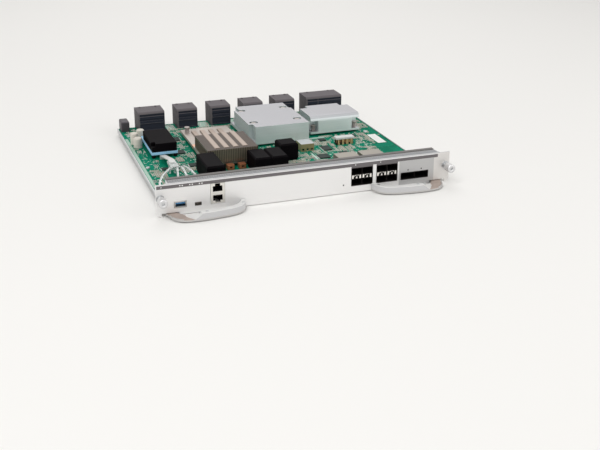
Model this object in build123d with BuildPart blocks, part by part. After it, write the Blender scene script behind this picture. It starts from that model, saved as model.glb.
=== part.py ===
from build123d import *
import os
from math import cos, radians, sin

os.makedirs("parts", exist_ok=True)

# Supervisor module: a plug-in processor card for a network chassis.
# X runs to the right seen from the front, Y to the rear, Z up, in millimetres.
# Heights count from the lower edge of the faceplate, depths from its front face.

# Faceplate
plate_w = 383.0
plate_h = 40.0
plate_t = 1.5
plate_corner_r = 6.0
plate_bend_r = 1.8
left_end = -plate_w / 2
right_end = plate_w / 2
flange_inset = 13.0
top_flange_w = plate_w - 2 * flange_inset
top_flange_d = 20.0
top_flange_taper = 3.0
bottom_flange_d = 9.0
cutout_gap = 0.4

# Ejector slot in the lower edge of the faceplate, measured from the plate's end
slot_start = 6.5
slot_end = 27.5
slot_h = 3.9

# Indicator strip, gaskets
strip_t = 0.3
strip_h = 4.0
strip_start = 1.5
strip_end = 17.0
lamp_r = 0.8
strip_z = plate_h - plate_bend_r - strip_h / 2 + 0.5
lamp_xs = [left_end + x for x in (7.0, 29.3, 32.3, 41.2, 44.2, 52.9, 55.9)]
lamp_xs += [right_end - 130.9, right_end - 97.0]
gasket_w = 8.0
gasket_h = 0.8
gasket_inset = 3.6
gasket_ridges = 46
seal_w = 6.0
seal_h = 1.2

# Carrier tray and circuit board
tray_z = 4.6
tray_t = 1.2
tray_lip_h = 4.2
board_inset = 11.8
board_w = plate_w - 2 * board_inset
board_start = 3.0
board_d = 337.0
board_t = 2.4
spacer_h = 1.0
side_gap = 0.4
tray_w = board_w + 2 * (side_gap + tray_t)
board_z = tray_z + tray_t + spacer_h
board_top = board_z + board_t
board_rear = board_start + board_d

# Reach of the ejector handles in front, of the rear connectors behind
lever_reach = 28.5
connector_overhang = 6.0
rear_reach = board_rear + connector_overhang
face_y = (lever_reach - rear_reach) / 2

# Board screws, as places across and to the rear
edge_screw = 19.5
screw_places = [
    (left_end + edge_screw, 16), (-30, 16), (right_end - edge_screw, 16),
    (left_end + edge_screw, 150), (right_end - 29, 204), (-20, 172),
    (left_end + edge_screw, 296), (right_end - edge_screw, 325), (-2.5, 325),
]
screw_r = 1.5
screw_head_r = 2.9
screw_head_h = 1.6
spacer_r = 3.0
fit_gap = 0.05


def level(z):
    """Flat plane at height z, with its origin under the middle of the front face."""
    return Plane(origin=(0, face_y, z))


def from_end(z):
    """Flat plane at height z, with its origin at the left end of the front face."""
    return Plane(origin=(-plate_w / 2, face_y, z))


def facing(y):
    """Upright plane that looks forward, y behind the front face."""
    return Plane(origin=(0, face_y + y, 0), x_dir=(1, 0, 0), z_dir=(0, -1, 0))


def side(x):
    """Upright plane that looks to the right at x, with depth and height as its axes."""
    return Plane(origin=(x, face_y, 0), x_dir=(0, 1, 0), z_dir=(1, 0, 0))


# Sockets of the front panel, each as its place across and its own sizes
usb_x = left_end + 29.3
usb_w = 13.2
usb_h = 6.4
usb_d = 16.0
usb_rim = 0.7
usb_lift = 0.9
mini_usb_x = left_end + 50.8
mini_usb_w = 7.7
mini_usb_h = 3.9
mini_usb_d = 9.2
jack_x = left_end + 74.8
jack_w = 17.2
jack_h = 25.0
jack_d = 27.0
sfp_xs = {"left": right_end - 121.7, "right": right_end - 87.6}
sfp_w = 28.6
sfp_h = 23.4
sfp_d = 62.0
sfp_port_w = 13.7
sfp_port_h = 8.4
qsfp_x = right_end - 49.0
qsfp_w = 38.2
qsfp_h = 9.2
qsfp_d = 70.0
qsfp_port_w = 18.5
qsfp_port_h = 8.2
sheet_t = 0.5
reset_x = right_end - 146.6
reset_z = 11.7
reset_hole_r = 1.0

# Captive screws
captive_inset = 5.6
captive_z = 22.5
captive_travel = 5.0
ferrule_r = 3.1
ferrule_seat_r = 3.9
ferrule_rim_r = 5.2
ferrule_rim_t = 1.2
ferrule_len = 7.0
ferrule_lip = 1.6
thread_r = 2.0
neck_r = 1.6
guide_r = 1.7
thread_gap = 0.2
knob_r = 5.5
knob_front = 18.0
knob_back = 6.8
knob_wall = 0.9
knob_cap = 3.7

# Faceplate: folded section with two flanges, then the flat wings at both ends
with BuildPart() as faceplate:
    with BuildSketch(side(-top_flange_w / 2)):
        with BuildLine():
            inner_r = plate_bend_r - plate_t
            Polyline((bottom_flange_d, plate_t), (bottom_flange_d, 0), (plate_bend_r, 0))
            RadiusArc((plate_bend_r, 0), (0, plate_bend_r), plate_bend_r)
            Line((0, plate_bend_r), (0, plate_h - plate_bend_r))
            RadiusArc((0, plate_h - plate_bend_r), (plate_bend_r, plate_h), plate_bend_r)
            Polyline(
                (plate_bend_r, plate_h),
                (top_flange_d, plate_h),
                (top_flange_d, plate_h - plate_t),
                (plate_bend_r, plate_h - plate_t),
            )
            RadiusArc((plate_bend_r, plate_h - plate_t), (plate_t, plate_h - plate_bend_r), -inner_r)
            Line((plate_t, plate_h - plate_bend_r), (plate_t, plate_bend_r))
            RadiusArc((plate_t, plate_bend_r), (plate_bend_r, plate_t), -inner_r)
            Line((plate_bend_r, plate_t), (bottom_flange_d, plate_t))
        make_face()
    extrude(amount=top_flange_w)
    # Wings
    with BuildSketch(facing(0)) as wings:
        with Locations((0, plate_h / 2)):
            RectangleRounded(plate_w, plate_h, plate_corner_r)
        with Locations((0, plate_h - plate_corner_r / 2)):
            Rectangle(plate_w, plate_corner_r)
        with Locations((0, plate_h / 2)):
            Rectangle(top_flange_w, plate_h, mode=Mode.SUBTRACT)
    extrude(amount=-plate_t)
    # Slanted ends of the top flange
    with BuildSketch(level(plate_h - plate_t - 1)):
        for end in (-1, 1):
            with BuildLine():
                Polyline(
                    (end * top_flange_w / 2, plate_t),
                    (end * (top_flange_w / 2 + 1), top_flange_d + 1),
                    (end * (top_flange_w / 2 - top_flange_taper), top_flange_d + 1),
                    close=True,
                )
            make_face()
    extrude(amount=plate_t + 2, mode=Mode.SUBTRACT)
    # Slots in the lower edge for the ejector levers
    with BuildSketch(level(-1)):
        for end in (-1, 1):
            with Locations((end * (plate_w / 2 - (slot_start + slot_end) / 2), bottom_flange_d / 2)):
                Rectangle(slot_end - slot_start, 3 * bottom_flange_d)
    extrude(amount=slot_h + 1, mode=Mode.SUBTRACT)
    # Openings for the sockets, the captive screws and the reset button
    with BuildSketch(facing(-1)):
        with Locations((usb_x, board_top + usb_lift + usb_h / 2)):
            Rectangle(usb_w + 2 * (usb_rim + cutout_gap), usb_h + 2 * (usb_rim + cutout_gap))
        with Locations((mini_usb_x, board_top + mini_usb_h / 2)):
            Rectangle(mini_usb_w + 2 * cutout_gap, mini_usb_h + 2 * cutout_gap)
        with Locations((jack_x, board_top + jack_h / 2)):
            Rectangle(jack_w + 2 * cutout_gap, jack_h + 2 * cutout_gap)
        for x in sfp_xs.values():
            with Locations((x, board_top + sfp_h / 2)):
                Rectangle(sfp_w + 2 * cutout_gap, sfp_h + 2 * cutout_gap)
        with Locations((qsfp_x, board_top + qsfp_h / 2)):
            Rectangle(qsfp_w + 2 * cutout_gap, qsfp_h + 2 * cutout_gap)
        for end in (-1, 1):
            with Locations((end * (plate_w / 2 - captive_inset), captive_z)):
                Circle(ferrule_seat_r)
        with Locations((reset_x, reset_z)):
            Circle(reset_hole_r)
        with Locations([(x, strip_z) for x in lamp_xs]):
            Circle(lamp_r)
    extrude(amount=-(plate_t + 1.3), mode=Mode.SUBTRACT)
faceplate.part.label = "faceplate"
export_step(faceplate.part, "parts/faceplate.step")

# Indicator strip: a thin dark overlay with round lamp windows
with BuildPart() as indicator_strip:
    with BuildSketch(facing(0)):
        with Locations(((strip_start - strip_end) / 2, strip_z)):
            Rectangle(plate_w - strip_start - strip_end, strip_h)
        with Locations([(x, strip_z) for x in lamp_xs]):
            Circle(lamp_r, mode=Mode.SUBTRACT)
    extrude(amount=strip_t)
indicator_strip.part.label = "indicator_strip"
export_step(indicator_strip.part, "parts/indicator_strip.step")

# Gasket on the top flange: a springy strip pressed into cross ridges
gasket_len = top_flange_w - 2 * top_flange_taper
with BuildPart() as top_gasket:
    with BuildSketch(level(plate_h)):
        with Locations((0, gasket_inset + gasket_w / 2)):
            Rectangle(gasket_len, gasket_w)
    extrude(amount=gasket_h / 2)
    with BuildSketch(level(plate_h + gasket_h / 2)):
        with Locations((0, gasket_inset + gasket_w / 2)):
            with GridLocations(gasket_len / gasket_ridges, 1, gasket_ridges, 1):
                Rectangle(0.6 * gasket_len / gasket_ridges, gasket_w - 1)
    extrude(amount=gasket_h / 2)
top_gasket.part.label = "top_gasket"
export_step(top_gasket.part, "parts/top_gasket.step")

# Dark seal along the rear edge of the top flange
with BuildPart() as rear_seal:
    with BuildSketch(side(-gasket_len / 2)):
        with Locations((top_flange_d - seal_w / 2, plate_h + seal_h / 2)):
            Rectangle(seal_w, seal_h)
        fillet(vertices().group_by(Axis.Z)[-1], 0.4)
    extrude(amount=gasket_len)
rear_seal.part.label = "rear_seal"
export_step(rear_seal.part, "parts/rear_seal.step")

# Carrier tray: folded sheet with low side lips and a front lip down to the faceplate's flange
tray_front = plate_t + 0.3
with BuildPart() as carrier_tray:
    with BuildSketch(level(tray_z)):
        with Locations((0, (tray_front + board_rear) / 2)):
            Rectangle(tray_w, board_rear - tray_front)
    extrude(amount=tray_t)
    with BuildSketch(level(tray_z + tray_t)):
        for end in (-1, 1):
            with Locations((end * (tray_w - tray_t) / 2, (tray_front + board_rear) / 2)):
                Rectangle(tray_t, board_rear - tray_front)
    extrude(amount=tray_lip_h)
    # Front lip between the two ejector levers
    with BuildSketch(level(plate_t)):
        with Locations((0, (plate_bend_r + tray_front + tray_t) / 2)):
            Rectangle(plate_w - 2 * slot_end - 6, tray_front + tray_t - plate_bend_r)
    extrude(amount=tray_z + tray_t - plate_t)
    # Pressed-in nuts that hold the board off the tray, and the holes for its screws
    with BuildSketch(level(tray_z + tray_t)):
        with Locations(screw_places):
            RegularPolygon(spacer_r, 6)
    extrude(amount=spacer_h)
    with BuildSketch(level(tray_z - 1)):
        with Locations(screw_places):
            Circle(screw_r + fit_gap)
    extrude(amount=tray_t + spacer_h + 2, mode=Mode.SUBTRACT)
    # Vents under the processor and the switch chips
    vent_pitch = 12.0
    with BuildSketch(level(tray_z - 1)):
        for x, y in ((-62, 238), (28, 246), (118, 246)):
            with Locations((x, y)):
                with GridLocations(vent_pitch, vent_pitch, 4, 3):
                    Circle(3.5)
    extrude(amount=tray_t + 2, mode=Mode.SUBTRACT)
    # Holes for the lever pins
    pin_r = 2.5
    pin_x = 17.0
    pin_y = 5.5
    pin_shoulder_r = 3.6
    with BuildSketch(level(tray_z - 1)):
        with Locations([(end * (plate_w / 2 - pin_x), pin_y) for end in (-1, 1)]):
            Circle(pin_r)
    extrude(amount=tray_t + 2, mode=Mode.SUBTRACT)
carrier_tray.part.label = "carrier_tray"
export_step(carrier_tray.part, "parts/carrier_tray.step")

# Brackets between the ends of the faceplate and the board: a gusset with a foot
bracket_reach = 48.0
bracket_rear_h = 6.0
bracket_foot_w = 9.0
bracket_foot_start = 22.0
with BuildPart() as side_brackets:
    with BuildSketch(side(top_flange_w / 2 - tray_t)):
        with BuildLine():
            Polyline(
                (plate_t, board_top),
                (bracket_reach, board_top),
                (bracket_reach, board_top + bracket_rear_h),
                (plate_bend_r + 5, plate_h - plate_t),
                (plate_bend_r, plate_h - plate_t),
                (plate_t, plate_h - plate_bend_r),
                close=True,
            )
        make_face()
        with Locations((plate_t + 10, board_top + 8), (bracket_reach - 16, board_top + 5)):
            Circle(2.2, mode=Mode.SUBTRACT)
    extrude(amount=tray_t)
    with BuildSketch(level(board_top)):
        foot_x = top_flange_w / 2 - tray_t - bracket_foot_w / 2
        with Locations((foot_x, (bracket_foot_start + bracket_reach) / 2)):
            Rectangle(bracket_foot_w, bracket_reach - bracket_foot_start)
    extrude(amount=tray_t)
    mirror(about=Plane.YZ)
side_brackets.part.label = "side_brackets"
export_step(side_brackets.part, "parts/side_brackets.step")

# Processor cooler
cpu_x = -64.0
cpu_fin_w = 69.0
cpu_fin_start = 118.0
cpu_fin_rear = 189.0
cpu_base_z = 13.0
cpu_base_t = 4.0
cpu_base_w = 70.0
cpu_base_rear = 279.0
cpu_top = 35.0
cpu_fin_pitch = 2.8
cpu_screws = (56.0, 44.0)
cpu_screw_top = 25.0
fin_t = 0.5
pipe_w = 7.4
pipe_t = 2.4
pipe_sink = 1.8
pipe_pitch = 12.7
pipe_count = 4

# Coolers of the two switch chips
cooler_base_z = 12.4
cooler_base_t = 3.0
cooler_top = 38.4
zip_pitch = 3.1
screw_bay = 5.4
# The inset is that of the spring screws from the sides and from the front and rear
large_cooler = {"x": 25.8, "y": 244.0, "w": 85.4, "d": 110.0, "inset": (9.9, 23.5)}
small_cooler = {"x": 117.0, "y": 239.5, "w": 76.0, "d": 59.0, "inset": (6.0, 6.0)}
for c in (large_cooler, small_cooler):
    c["screws"] = (c["w"] - 2 * c["inset"][0], c["d"] - 2 * c["inset"][1])
small_round = 8.0
cpu_fin_bottom = cpu_base_z + cpu_base_t
stack_z = cooler_base_z + cooler_base_t

# Spring screws of the three coolers: place, foot and top of the sleeve
cooler_screw_r = 2.2
cooler_head_r = 4.0
cpu_screw_places = [
    (cpu_x + end * cpu_screws[0] / 2, cpu_base_rear - 36 - end * cpu_screws[1] / 2) for end in (-1, 1)
]
cooler_screw_places = [(x, y, cpu_fin_bottom, cpu_screw_top) for x, y in cpu_screw_places]
for c in (large_cooler, small_cooler):
    for ex in (-0.5, 0.5):
        for ey in (-0.5, 0.5):
            place = (c["x"] + ex * c["screws"][0], c["y"] + ey * c["screws"][1])
            cooler_screw_places.append((*place, stack_z, cooler_top - 3.5))

# Main circuit board
with BuildPart() as circuit_board:
    with BuildSketch(level(board_z)):
        with Locations((0, board_start + board_d / 2)):
            RectangleRounded(board_w, board_d, 2)
        with Locations(screw_places):
            Circle(screw_r + 0.2, mode=Mode.SUBTRACT)
        with Locations([(x, y) for x, y, foot, top in cooler_screw_places]):
            Circle(cooler_screw_r + fit_gap, mode=Mode.SUBTRACT)
        # Clearance for the heads of the lever pins
        with Locations([(end * (plate_w / 2 - pin_x), pin_y) for end in (-1, 1)]):
            Circle(pin_shoulder_r + 0.5, mode=Mode.SUBTRACT)
    extrude(amount=board_t)
circuit_board.part.label = "circuit_board"
export_step(circuit_board.part, "parts/circuit_board.step")

# Screws through the board into the tray
with BuildPart() as board_screws:
    with BuildSketch(level(board_top)):
        with Locations(screw_places):
            Circle(screw_head_r)
    extrude(amount=screw_head_h, taper=12)
    with BuildSketch(level(tray_z)):
        with Locations(screw_places):
            Circle(screw_r)
    extrude(amount=board_top - tray_z)
    with BuildSketch(level(board_top + screw_head_h)):
        with Locations(screw_places):
            Rectangle(2.4, 0.6)
            Rectangle(0.6, 2.4)
    extrude(amount=-0.8, mode=Mode.SUBTRACT)
board_screws.part.label = "board_screws"
export_step(board_screws.part, "parts/board_screws.step")

# Large USB socket: shell with a flared rim, and its blue tongue
usb_z = board_top + usb_lift + usb_h / 2
with BuildPart() as usb_shell:
    with BuildSketch(facing(-0.2)):
        with Locations((usb_x, usb_z)):
            Rectangle(usb_w + 2 * usb_rim, usb_h + 2 * usb_rim)
    extrude(amount=-sheet_t)
    with BuildSketch(facing(-0.2)):
        with Locations((usb_x, usb_z)):
            Rectangle(usb_w, usb_h)
    extrude(amount=-usb_d)
    with BuildSketch(facing(-0.2)):
        with Locations((usb_x, usb_z)):
            Rectangle(usb_w - 2 * sheet_t, usb_h - 2 * sheet_t)
    extrude(amount=-(usb_d - sheet_t), mode=Mode.SUBTRACT)
    # Feet down to the board
    with BuildSketch(level(board_top)):
        with Locations([(usb_x + end * (usb_w - sheet_t) / 2, usb_d - 4) for end in (-1, 1)]):
            Rectangle(sheet_t, 4)
    extrude(amount=usb_lift + sheet_t)
usb_shell.part.label = "usb_shell"
export_step(usb_shell.part, "parts/usb_shell.step")

usb_tongue_h = 1.9
with BuildPart() as usb_tongue:
    with BuildSketch(facing(usb_d - 4)):
        with Locations((usb_x, usb_z)):
            Rectangle(usb_w - 2 * sheet_t, usb_h - 2 * sheet_t)
    extrude(amount=-3)
    with BuildSketch(facing(1)):
        with Locations((usb_x, usb_z + usb_h / 2 - sheet_t - usb_tongue_h / 2 - 0.4)):
            Rectangle(usb_w - 2 * sheet_t - 1, usb_tongue_h)
    extrude(amount=-(usb_d - 5))
usb_tongue.part.label = "usb_tongue"
export_step(usb_tongue.part, "parts/usb_tongue.step")

# Small USB socket
mini_z = board_top + mini_usb_h / 2
with BuildPart() as mini_usb_socket:
    with BuildSketch(facing(0.2)):
        with Locations((mini_usb_x, mini_z)):
            Rectangle(mini_usb_w, mini_usb_h)
    extrude(amount=-mini_usb_d)
    chamfer(edges().filter_by(Axis.Y).group_by(Axis.Z)[0], 0.9)
    with BuildSketch(facing(0.2)):
        with Locations((mini_usb_x, mini_z)):
            Rectangle(mini_usb_w - 2 * sheet_t, mini_usb_h - 2 * sheet_t)
    extrude(amount=-(mini_usb_d - 2), mode=Mode.SUBTRACT)
    with BuildSketch(facing(1.2)):
        with Locations((mini_usb_x, mini_z + 0.3)):
            Rectangle(mini_usb_w - 2.4, 1)
    extrude(amount=-(mini_usb_d - 2))
mini_usb_socket.part.label = "mini_usb_socket"
export_step(mini_usb_socket.part, "parts/mini_usb_socket.step")

# Two network jacks in one shielded stack
jack_port_w = 11.8
jack_port_h = 7.0
jack_tab_w = 6.4
jack_tab_h = 3.2
jack_port_d = 14.0
jack_mid = board_top + jack_h / 2
jack_web = 4.4


def jack_mouths():
    """Sketch the two jack mouths, latches facing away from each other."""
    for end in (-1, 1):
        with Locations((jack_x, jack_mid + end * (jack_web + jack_port_h) / 2)):
            Rectangle(jack_port_w, jack_port_h, mode=Mode.SUBTRACT)
        with Locations((jack_x, jack_mid + end * (jack_web / 2 + jack_port_h + jack_tab_h / 2))):
            Rectangle(jack_tab_w, jack_tab_h, mode=Mode.SUBTRACT)


with BuildPart() as jack_shield:
    with BuildSketch(facing(-0.2)):
        with Locations((jack_x, jack_mid)):
            Rectangle(jack_w, jack_h)
        jack_mouths()
    extrude(amount=-sheet_t)
    with BuildSketch(facing(sheet_t - 0.2)):
        with Locations((jack_x, jack_mid)):
            Rectangle(jack_w, jack_h)
            Rectangle(jack_w - 2 * sheet_t, jack_h - 2 * sheet_t, mode=Mode.SUBTRACT)
    extrude(amount=-(jack_d - sheet_t))
jack_shield.part.label = "jack_shield"
export_step(jack_shield.part, "parts/jack_shield.step")

with BuildPart() as jack_body:
    with BuildSketch(facing(sheet_t - 0.2)):
        with Locations((jack_x, jack_mid)):
            Rectangle(jack_w - 2 * sheet_t, jack_h - 2 * sheet_t)
    extrude(amount=-(jack_d - 2))
    with BuildSketch(facing(sheet_t - 0.2)) as mouths:
        for end in (-1, 1):
            with Locations((jack_x, jack_mid + end * (jack_web + jack_port_h) / 2)):
                Rectangle(jack_port_w, jack_port_h)
            with Locations((jack_x, jack_mid + end * (jack_web / 2 + jack_port_h + jack_tab_h / 2 - 0.5))):
                Rectangle(jack_tab_w, jack_tab_h + 1)
    extrude(amount=-jack_port_d, mode=Mode.SUBTRACT)
jack_body.part.label = "jack_body"
export_step(jack_body.part, "parts/jack_body.step")

# Stacked transceiver cages: two ports over two, with a latch band between the rows
row_z = (sfp_port_h + sheet_t, sfp_h - sfp_port_h - sheet_t)
band_h = sfp_h - 2 * (sfp_port_h + 2 * sheet_t)
for name, x in sfp_xs.items():
    with BuildPart() as sfp_cage:
        with BuildSketch(facing(0)):
            with Locations((x, board_top + sfp_h / 2)):
                Rectangle(sfp_w, sfp_h)
        extrude(amount=-sfp_d)
        with BuildSketch(facing(0)):
            with Locations((x, board_top + sfp_h / 2)):
                with GridLocations(sfp_port_w + sheet_t, sfp_h - sfp_port_h - 2 * sheet_t, 2, 2):
                    Rectangle(sfp_port_w, sfp_port_h)
                with GridLocations(sfp_port_w + sheet_t, 1, 2, 1):
                    Rectangle(sfp_port_w, band_h)
        extrude(amount=-(sfp_d - sheet_t), mode=Mode.SUBTRACT)
        # Spring fingers round the mouth, pressed against the cut-out
        with BuildSketch(facing(2.5)):
            with Locations((x, board_top + sfp_h)):
                with GridLocations(6.8, 1, 4, 1):
                    Rectangle(4.2, 0.5)
        extrude(amount=-9)
    sfp_cage.part.label = f"sfp_cage_{name}"
    export_step(sfp_cage.part, f"parts/sfp_cage_{name}.step")

# Latch fingers in the band between the rows of both cages
with BuildPart() as sfp_latches:
    for x in sfp_xs.values():
        with BuildSketch(facing(0.6)):
            with Locations((x, board_top + sfp_h / 2)):
                with GridLocations(sfp_port_w + sheet_t, 1, 2, 1):
                    Rectangle(sfp_port_w, band_h)
        extrude(amount=-14)
        # Sloping notches leave a tapered finger in the middle of each port
        with BuildSketch(facing(0)):
            with Locations((x, board_top + sfp_h / 2)):
                with GridLocations(sfp_port_w + sheet_t, 1, 2, 1):
                    Trapezoid(0.55 * sfp_port_w, 0.72 * band_h, 62)
                    Trapezoid(0.24 * sfp_port_w, 0.4 * band_h, 70, mode=Mode.SUBTRACT)
        extrude(amount=-6, mode=Mode.SUBTRACT)
sfp_latches.part.label = "sfp_latches"
export_step(sfp_latches.part, "parts/sfp_latches.step")

# Low cage for two wide transceivers
with BuildPart() as qsfp_cage:
    with BuildSketch(facing(0)):
        with Locations((qsfp_x, board_top + qsfp_h / 2)):
            Rectangle(qsfp_w, qsfp_h)
            with GridLocations(qsfp_port_w + sheet_t, 1, 2, 1):
                Rectangle(qsfp_port_w, qsfp_port_h, mode=Mode.SUBTRACT)
    extrude(amount=-qsfp_d)
qsfp_cage.part.label = "qsfp_cage"
export_step(qsfp_cage.part, "parts/qsfp_cage.step")

# Host connectors at the back of all the cages, each with a slot for the module's edge
host_d = 15.0
edge_slot = 1.4
with BuildPart() as host_connectors:
    for x in sfp_xs.values():
        with BuildSketch(facing(sfp_d - sheet_t - host_d)):
            with Locations((x, board_top + sfp_h / 2)):
                with GridLocations(sfp_port_w + sheet_t, sfp_h - sfp_port_h - 2 * sheet_t, 2, 2):
                    Rectangle(sfp_port_w, sfp_port_h)
                    Rectangle(sfp_port_w - 4.6, edge_slot, mode=Mode.SUBTRACT)
        extrude(amount=-host_d)
    with BuildSketch(facing(qsfp_d - host_d)):
        with Locations((qsfp_x, board_top + qsfp_h / 2)):
            with GridLocations(qsfp_port_w + sheet_t, 1, 2, 1):
                Rectangle(qsfp_port_w, qsfp_port_h)
                Rectangle(qsfp_port_w - 5, edge_slot, mode=Mode.SUBTRACT)
    extrude(amount=-host_d)
host_connectors.part.label = "host_connectors"
export_step(host_connectors.part, "parts/host_connectors.step")

# Reset switch: body on the board, and a sprung plunger behind the pinhole
reset_travel = 0.6
reset_gap = 1.2
reset_body_d = 5.0
plunger_r = 1.5
reset_face = plate_t + reset_gap + 2.0
with BuildPart() as reset_switch:
    with BuildSketch(facing(reset_face)):
        with Locations((reset_x, (board_top + reset_z + 3) / 2)):
            Rectangle(6.4, reset_z + 3 - board_top)
        with Locations((reset_x, reset_z)):
            Circle(plunger_r + 0.3, mode=Mode.SUBTRACT)
    extrude(amount=-reset_body_d)
    with BuildSketch(facing(reset_face + reset_body_d)):
        with Locations((reset_x, (board_top + reset_z + 3) / 2)):
            Rectangle(6.4, reset_z + 3 - board_top)
    extrude(amount=-1)
reset_switch.part.label = "reset_switch"
export_step(reset_switch.part, "parts/reset_switch.step")

with BuildPart() as reset_button:
    with BuildSketch(facing(plate_t + reset_gap)):
        with Locations((reset_x, reset_z)):
            Circle(plunger_r)
    extrude(amount=-(2.0 + reset_body_d - reset_travel - 0.4))
    fillet(edges().group_by(Axis.Y)[0], 0.4)
reset_button.part.label = "reset_button"
export_step(reset_button.part, "parts/reset_button.step")

# Captive screws at both ends of the faceplate
shank_end = 6.0
washer_t = 0.7
washer_gap = 0.3
knob_floor = knob_front - knob_cap
washer_front = knob_floor - washer_gap
wire_r = 0.4
coil_r = (ferrule_r + knob_r - knob_wall) / 2

# Ferrules pressed into the plate, each with a lip that keeps the screw's thread in
with BuildPart() as ferrules:
    for end in (-1, 1):
        captive_x = end * (plate_w / 2 - captive_inset)
        with BuildSketch(Plane(origin=(captive_x, face_y, captive_z))):
            with BuildLine():
                Polyline(
                    (neck_r + 0.1, -ferrule_len),
                    (ferrule_r, -ferrule_len),
                    (ferrule_r, -ferrule_rim_t),
                    (ferrule_rim_r, -ferrule_rim_t),
                    (ferrule_rim_r, 0),
                    (ferrule_seat_r, 0),
                    (ferrule_seat_r, plate_t),
                    (thread_r + 0.2, plate_t),
                    (thread_r + 0.2, ferrule_lip - ferrule_len),
                    (neck_r + 0.1, ferrule_lip - ferrule_len),
                    close=True,
                )
            make_face()
        revolve(axis=Axis((captive_x, face_y, captive_z), (0, 1, 0)))
ferrules.part.label = "ferrules"
export_step(ferrules.part, "parts/ferrules.step")

for name, end in (("left", -1), ("right", 1)):
    captive_x = end * (plate_w / 2 - captive_inset)
    turn_plane = Plane(origin=(captive_x, face_y, captive_z))
    turn_axis = Axis((captive_x, face_y, captive_z), (0, 1, 0))

    # Thrust washer between the spring and the knob
    with BuildPart() as thrust_washer:
        with BuildSketch(facing(-washer_front)):
            with Locations((captive_x, captive_z)):
                Circle(knob_r - knob_wall - 0.3)
                Circle(neck_r + 0.3, mode=Mode.SUBTRACT)
        extrude(amount=-washer_t)
    thrust_washer.part.label = f"thrust_washer_{name}"
    export_step(thrust_washer.part, f"parts/thrust_washer_{name}.step")

    # Coil spring from the ferrule's rim to the washer
    coil_len = washer_front - washer_t - ferrule_rim_t - 2 * wire_r
    with BuildPart() as captive_spring:
        with BuildLine() as coil:
            Helix(
                pitch=coil_len / 5,
                height=coil_len,
                radius=coil_r,
                center=(captive_x, face_y - ferrule_rim_t - wire_r, captive_z),
                direction=(0, -1, 0),
            )
        with BuildSketch(Plane(origin=coil.line @ 0, z_dir=coil.line % 0)):
            RegularPolygon(wire_r, 6)
        sweep(is_frenet=True)
    captive_spring.part.label = f"captive_spring_{name}"
    export_step(captive_spring.part, f"parts/captive_spring_{name}.step")

    # Knob: a cup that slides over the ferrule, with grip flats and a driver recess
    with BuildPart() as captive_knob:
        with BuildSketch(turn_plane):
            with BuildLine():
                Polyline(
                    (neck_r, -knob_front + 1.2),
                    (neck_r, -knob_floor),
                    (knob_r - knob_wall, -knob_floor),
                    (knob_r - knob_wall, -knob_back),
                    (knob_r, -knob_back),
                    (knob_r, -knob_front + 1),
                    (knob_r - 1, -knob_front),
                    (neck_r + 0.6, -knob_front),
                    close=True,
                )
            make_face()
        revolve(axis=turn_axis)
        # Shallow grip grooves round the knob
        with BuildSketch(facing(-knob_front)):
            with Locations((captive_x, captive_z)):
                with PolarLocations(knob_r + 0.25, 16):
                    Circle(0.45)
        extrude(amount=-(knob_front - knob_back - 1.5), mode=Mode.SUBTRACT)
    captive_knob.part.label = f"captive_knob_{name}"
    export_step(captive_knob.part, f"parts/captive_knob_{name}.step")

    # Screw: neck through the ferrule's lip, guide behind it, thread behind the plate
    with BuildPart() as captive_screw:
        with BuildSketch(turn_plane):
            with BuildLine():
                Polyline(
                    (0, -knob_front + 2),
                    (neck_r, -knob_front + 2),
                    (neck_r, ferrule_lip - ferrule_len + 1),
                    (guide_r, ferrule_lip - ferrule_len + 1.4),
                    (guide_r, plate_t + thread_gap),
                    (thread_r, plate_t + thread_gap),
                    (thread_r, shank_end - 0.6),
                    (thread_r - 0.6, shank_end),
                    (0, shank_end),
                    close=True,
                )
            make_face()
        revolve(axis=turn_axis)
    captive_screw.part.label = f"captive_screw_{name}"
    export_step(captive_screw.part, f"parts/captive_screw_{name}.step")

# Ejector levers, drawn at the left end and mirrored to the right
arm_t = 2.2
arm_z = 1.0
arm_top = arm_z + arm_t
handle_top = 10.5
handle_web_t = 2.0
skirt_shift = (-1.6, 2.0)
eye_r = 5.0
rivet_r = 1.2
rivet_head_r = 1.9
rivet_head_h = 0.5
tip_gap = 0.7
foot_end = 50.0
tip_foot = 99.0
rivet_places = [(46.5, -24.0), (55.5, -24.2), (103.2, -10.0)]
ramp_foot = (31.5, -15.5)
ramp_angle = -54.7
ramp_run = 8.0
rim_w = 1.3
rim_h = 0.9


def moved(places, dx, dy):
    """Shift flat places by dx and dy."""
    return [(x + dx, y + dy) for x, y in places]


def bow_outline(dx=0.0, dy=0.0):
    """Draw the bow of the handle, shifted: an outer curve, the tip and an inner curve back."""
    root = (26.5 + dx, -25.9 + dy)
    crest = (50.0 + dx, -lever_reach + dy)
    Spline(root, crest, tangents=((1.0, -0.45), (1.0, 0.0)))
    outer_places = moved([(76.0, -26.0), (98.0, -20.0), (109.0, -tip_gap)], dx, dy)
    outer = Spline(crest, *outer_places, tangents=((1.0, 0.0), (0.15, 1.0)))
    tip = (103.5 + dx, -tip_gap + dy)
    Line(outer @ 1, tip)
    inner_places = moved([(92.0, -15.5), (75.0, -19.4), (52.0, -20.6), (33.5, -13.5)], dx, dy)
    inner = Spline(tip, *inner_places, tangents=((-0.35, -1.0), (-0.7, 0.75)))
    return inner @ 1, root


def heel_curve(dx=0.0, dy=0.0):
    """Draw the arm's outer edge, shifted, from the neck at the slot round to the handle's root."""
    places = moved([(11.6, -1.0), (13.9, -5.6), (14.8, -11.5), (18.8, -19.5), (26.5, -25.9)], dx, dy)
    return Spline(*places)


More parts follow.
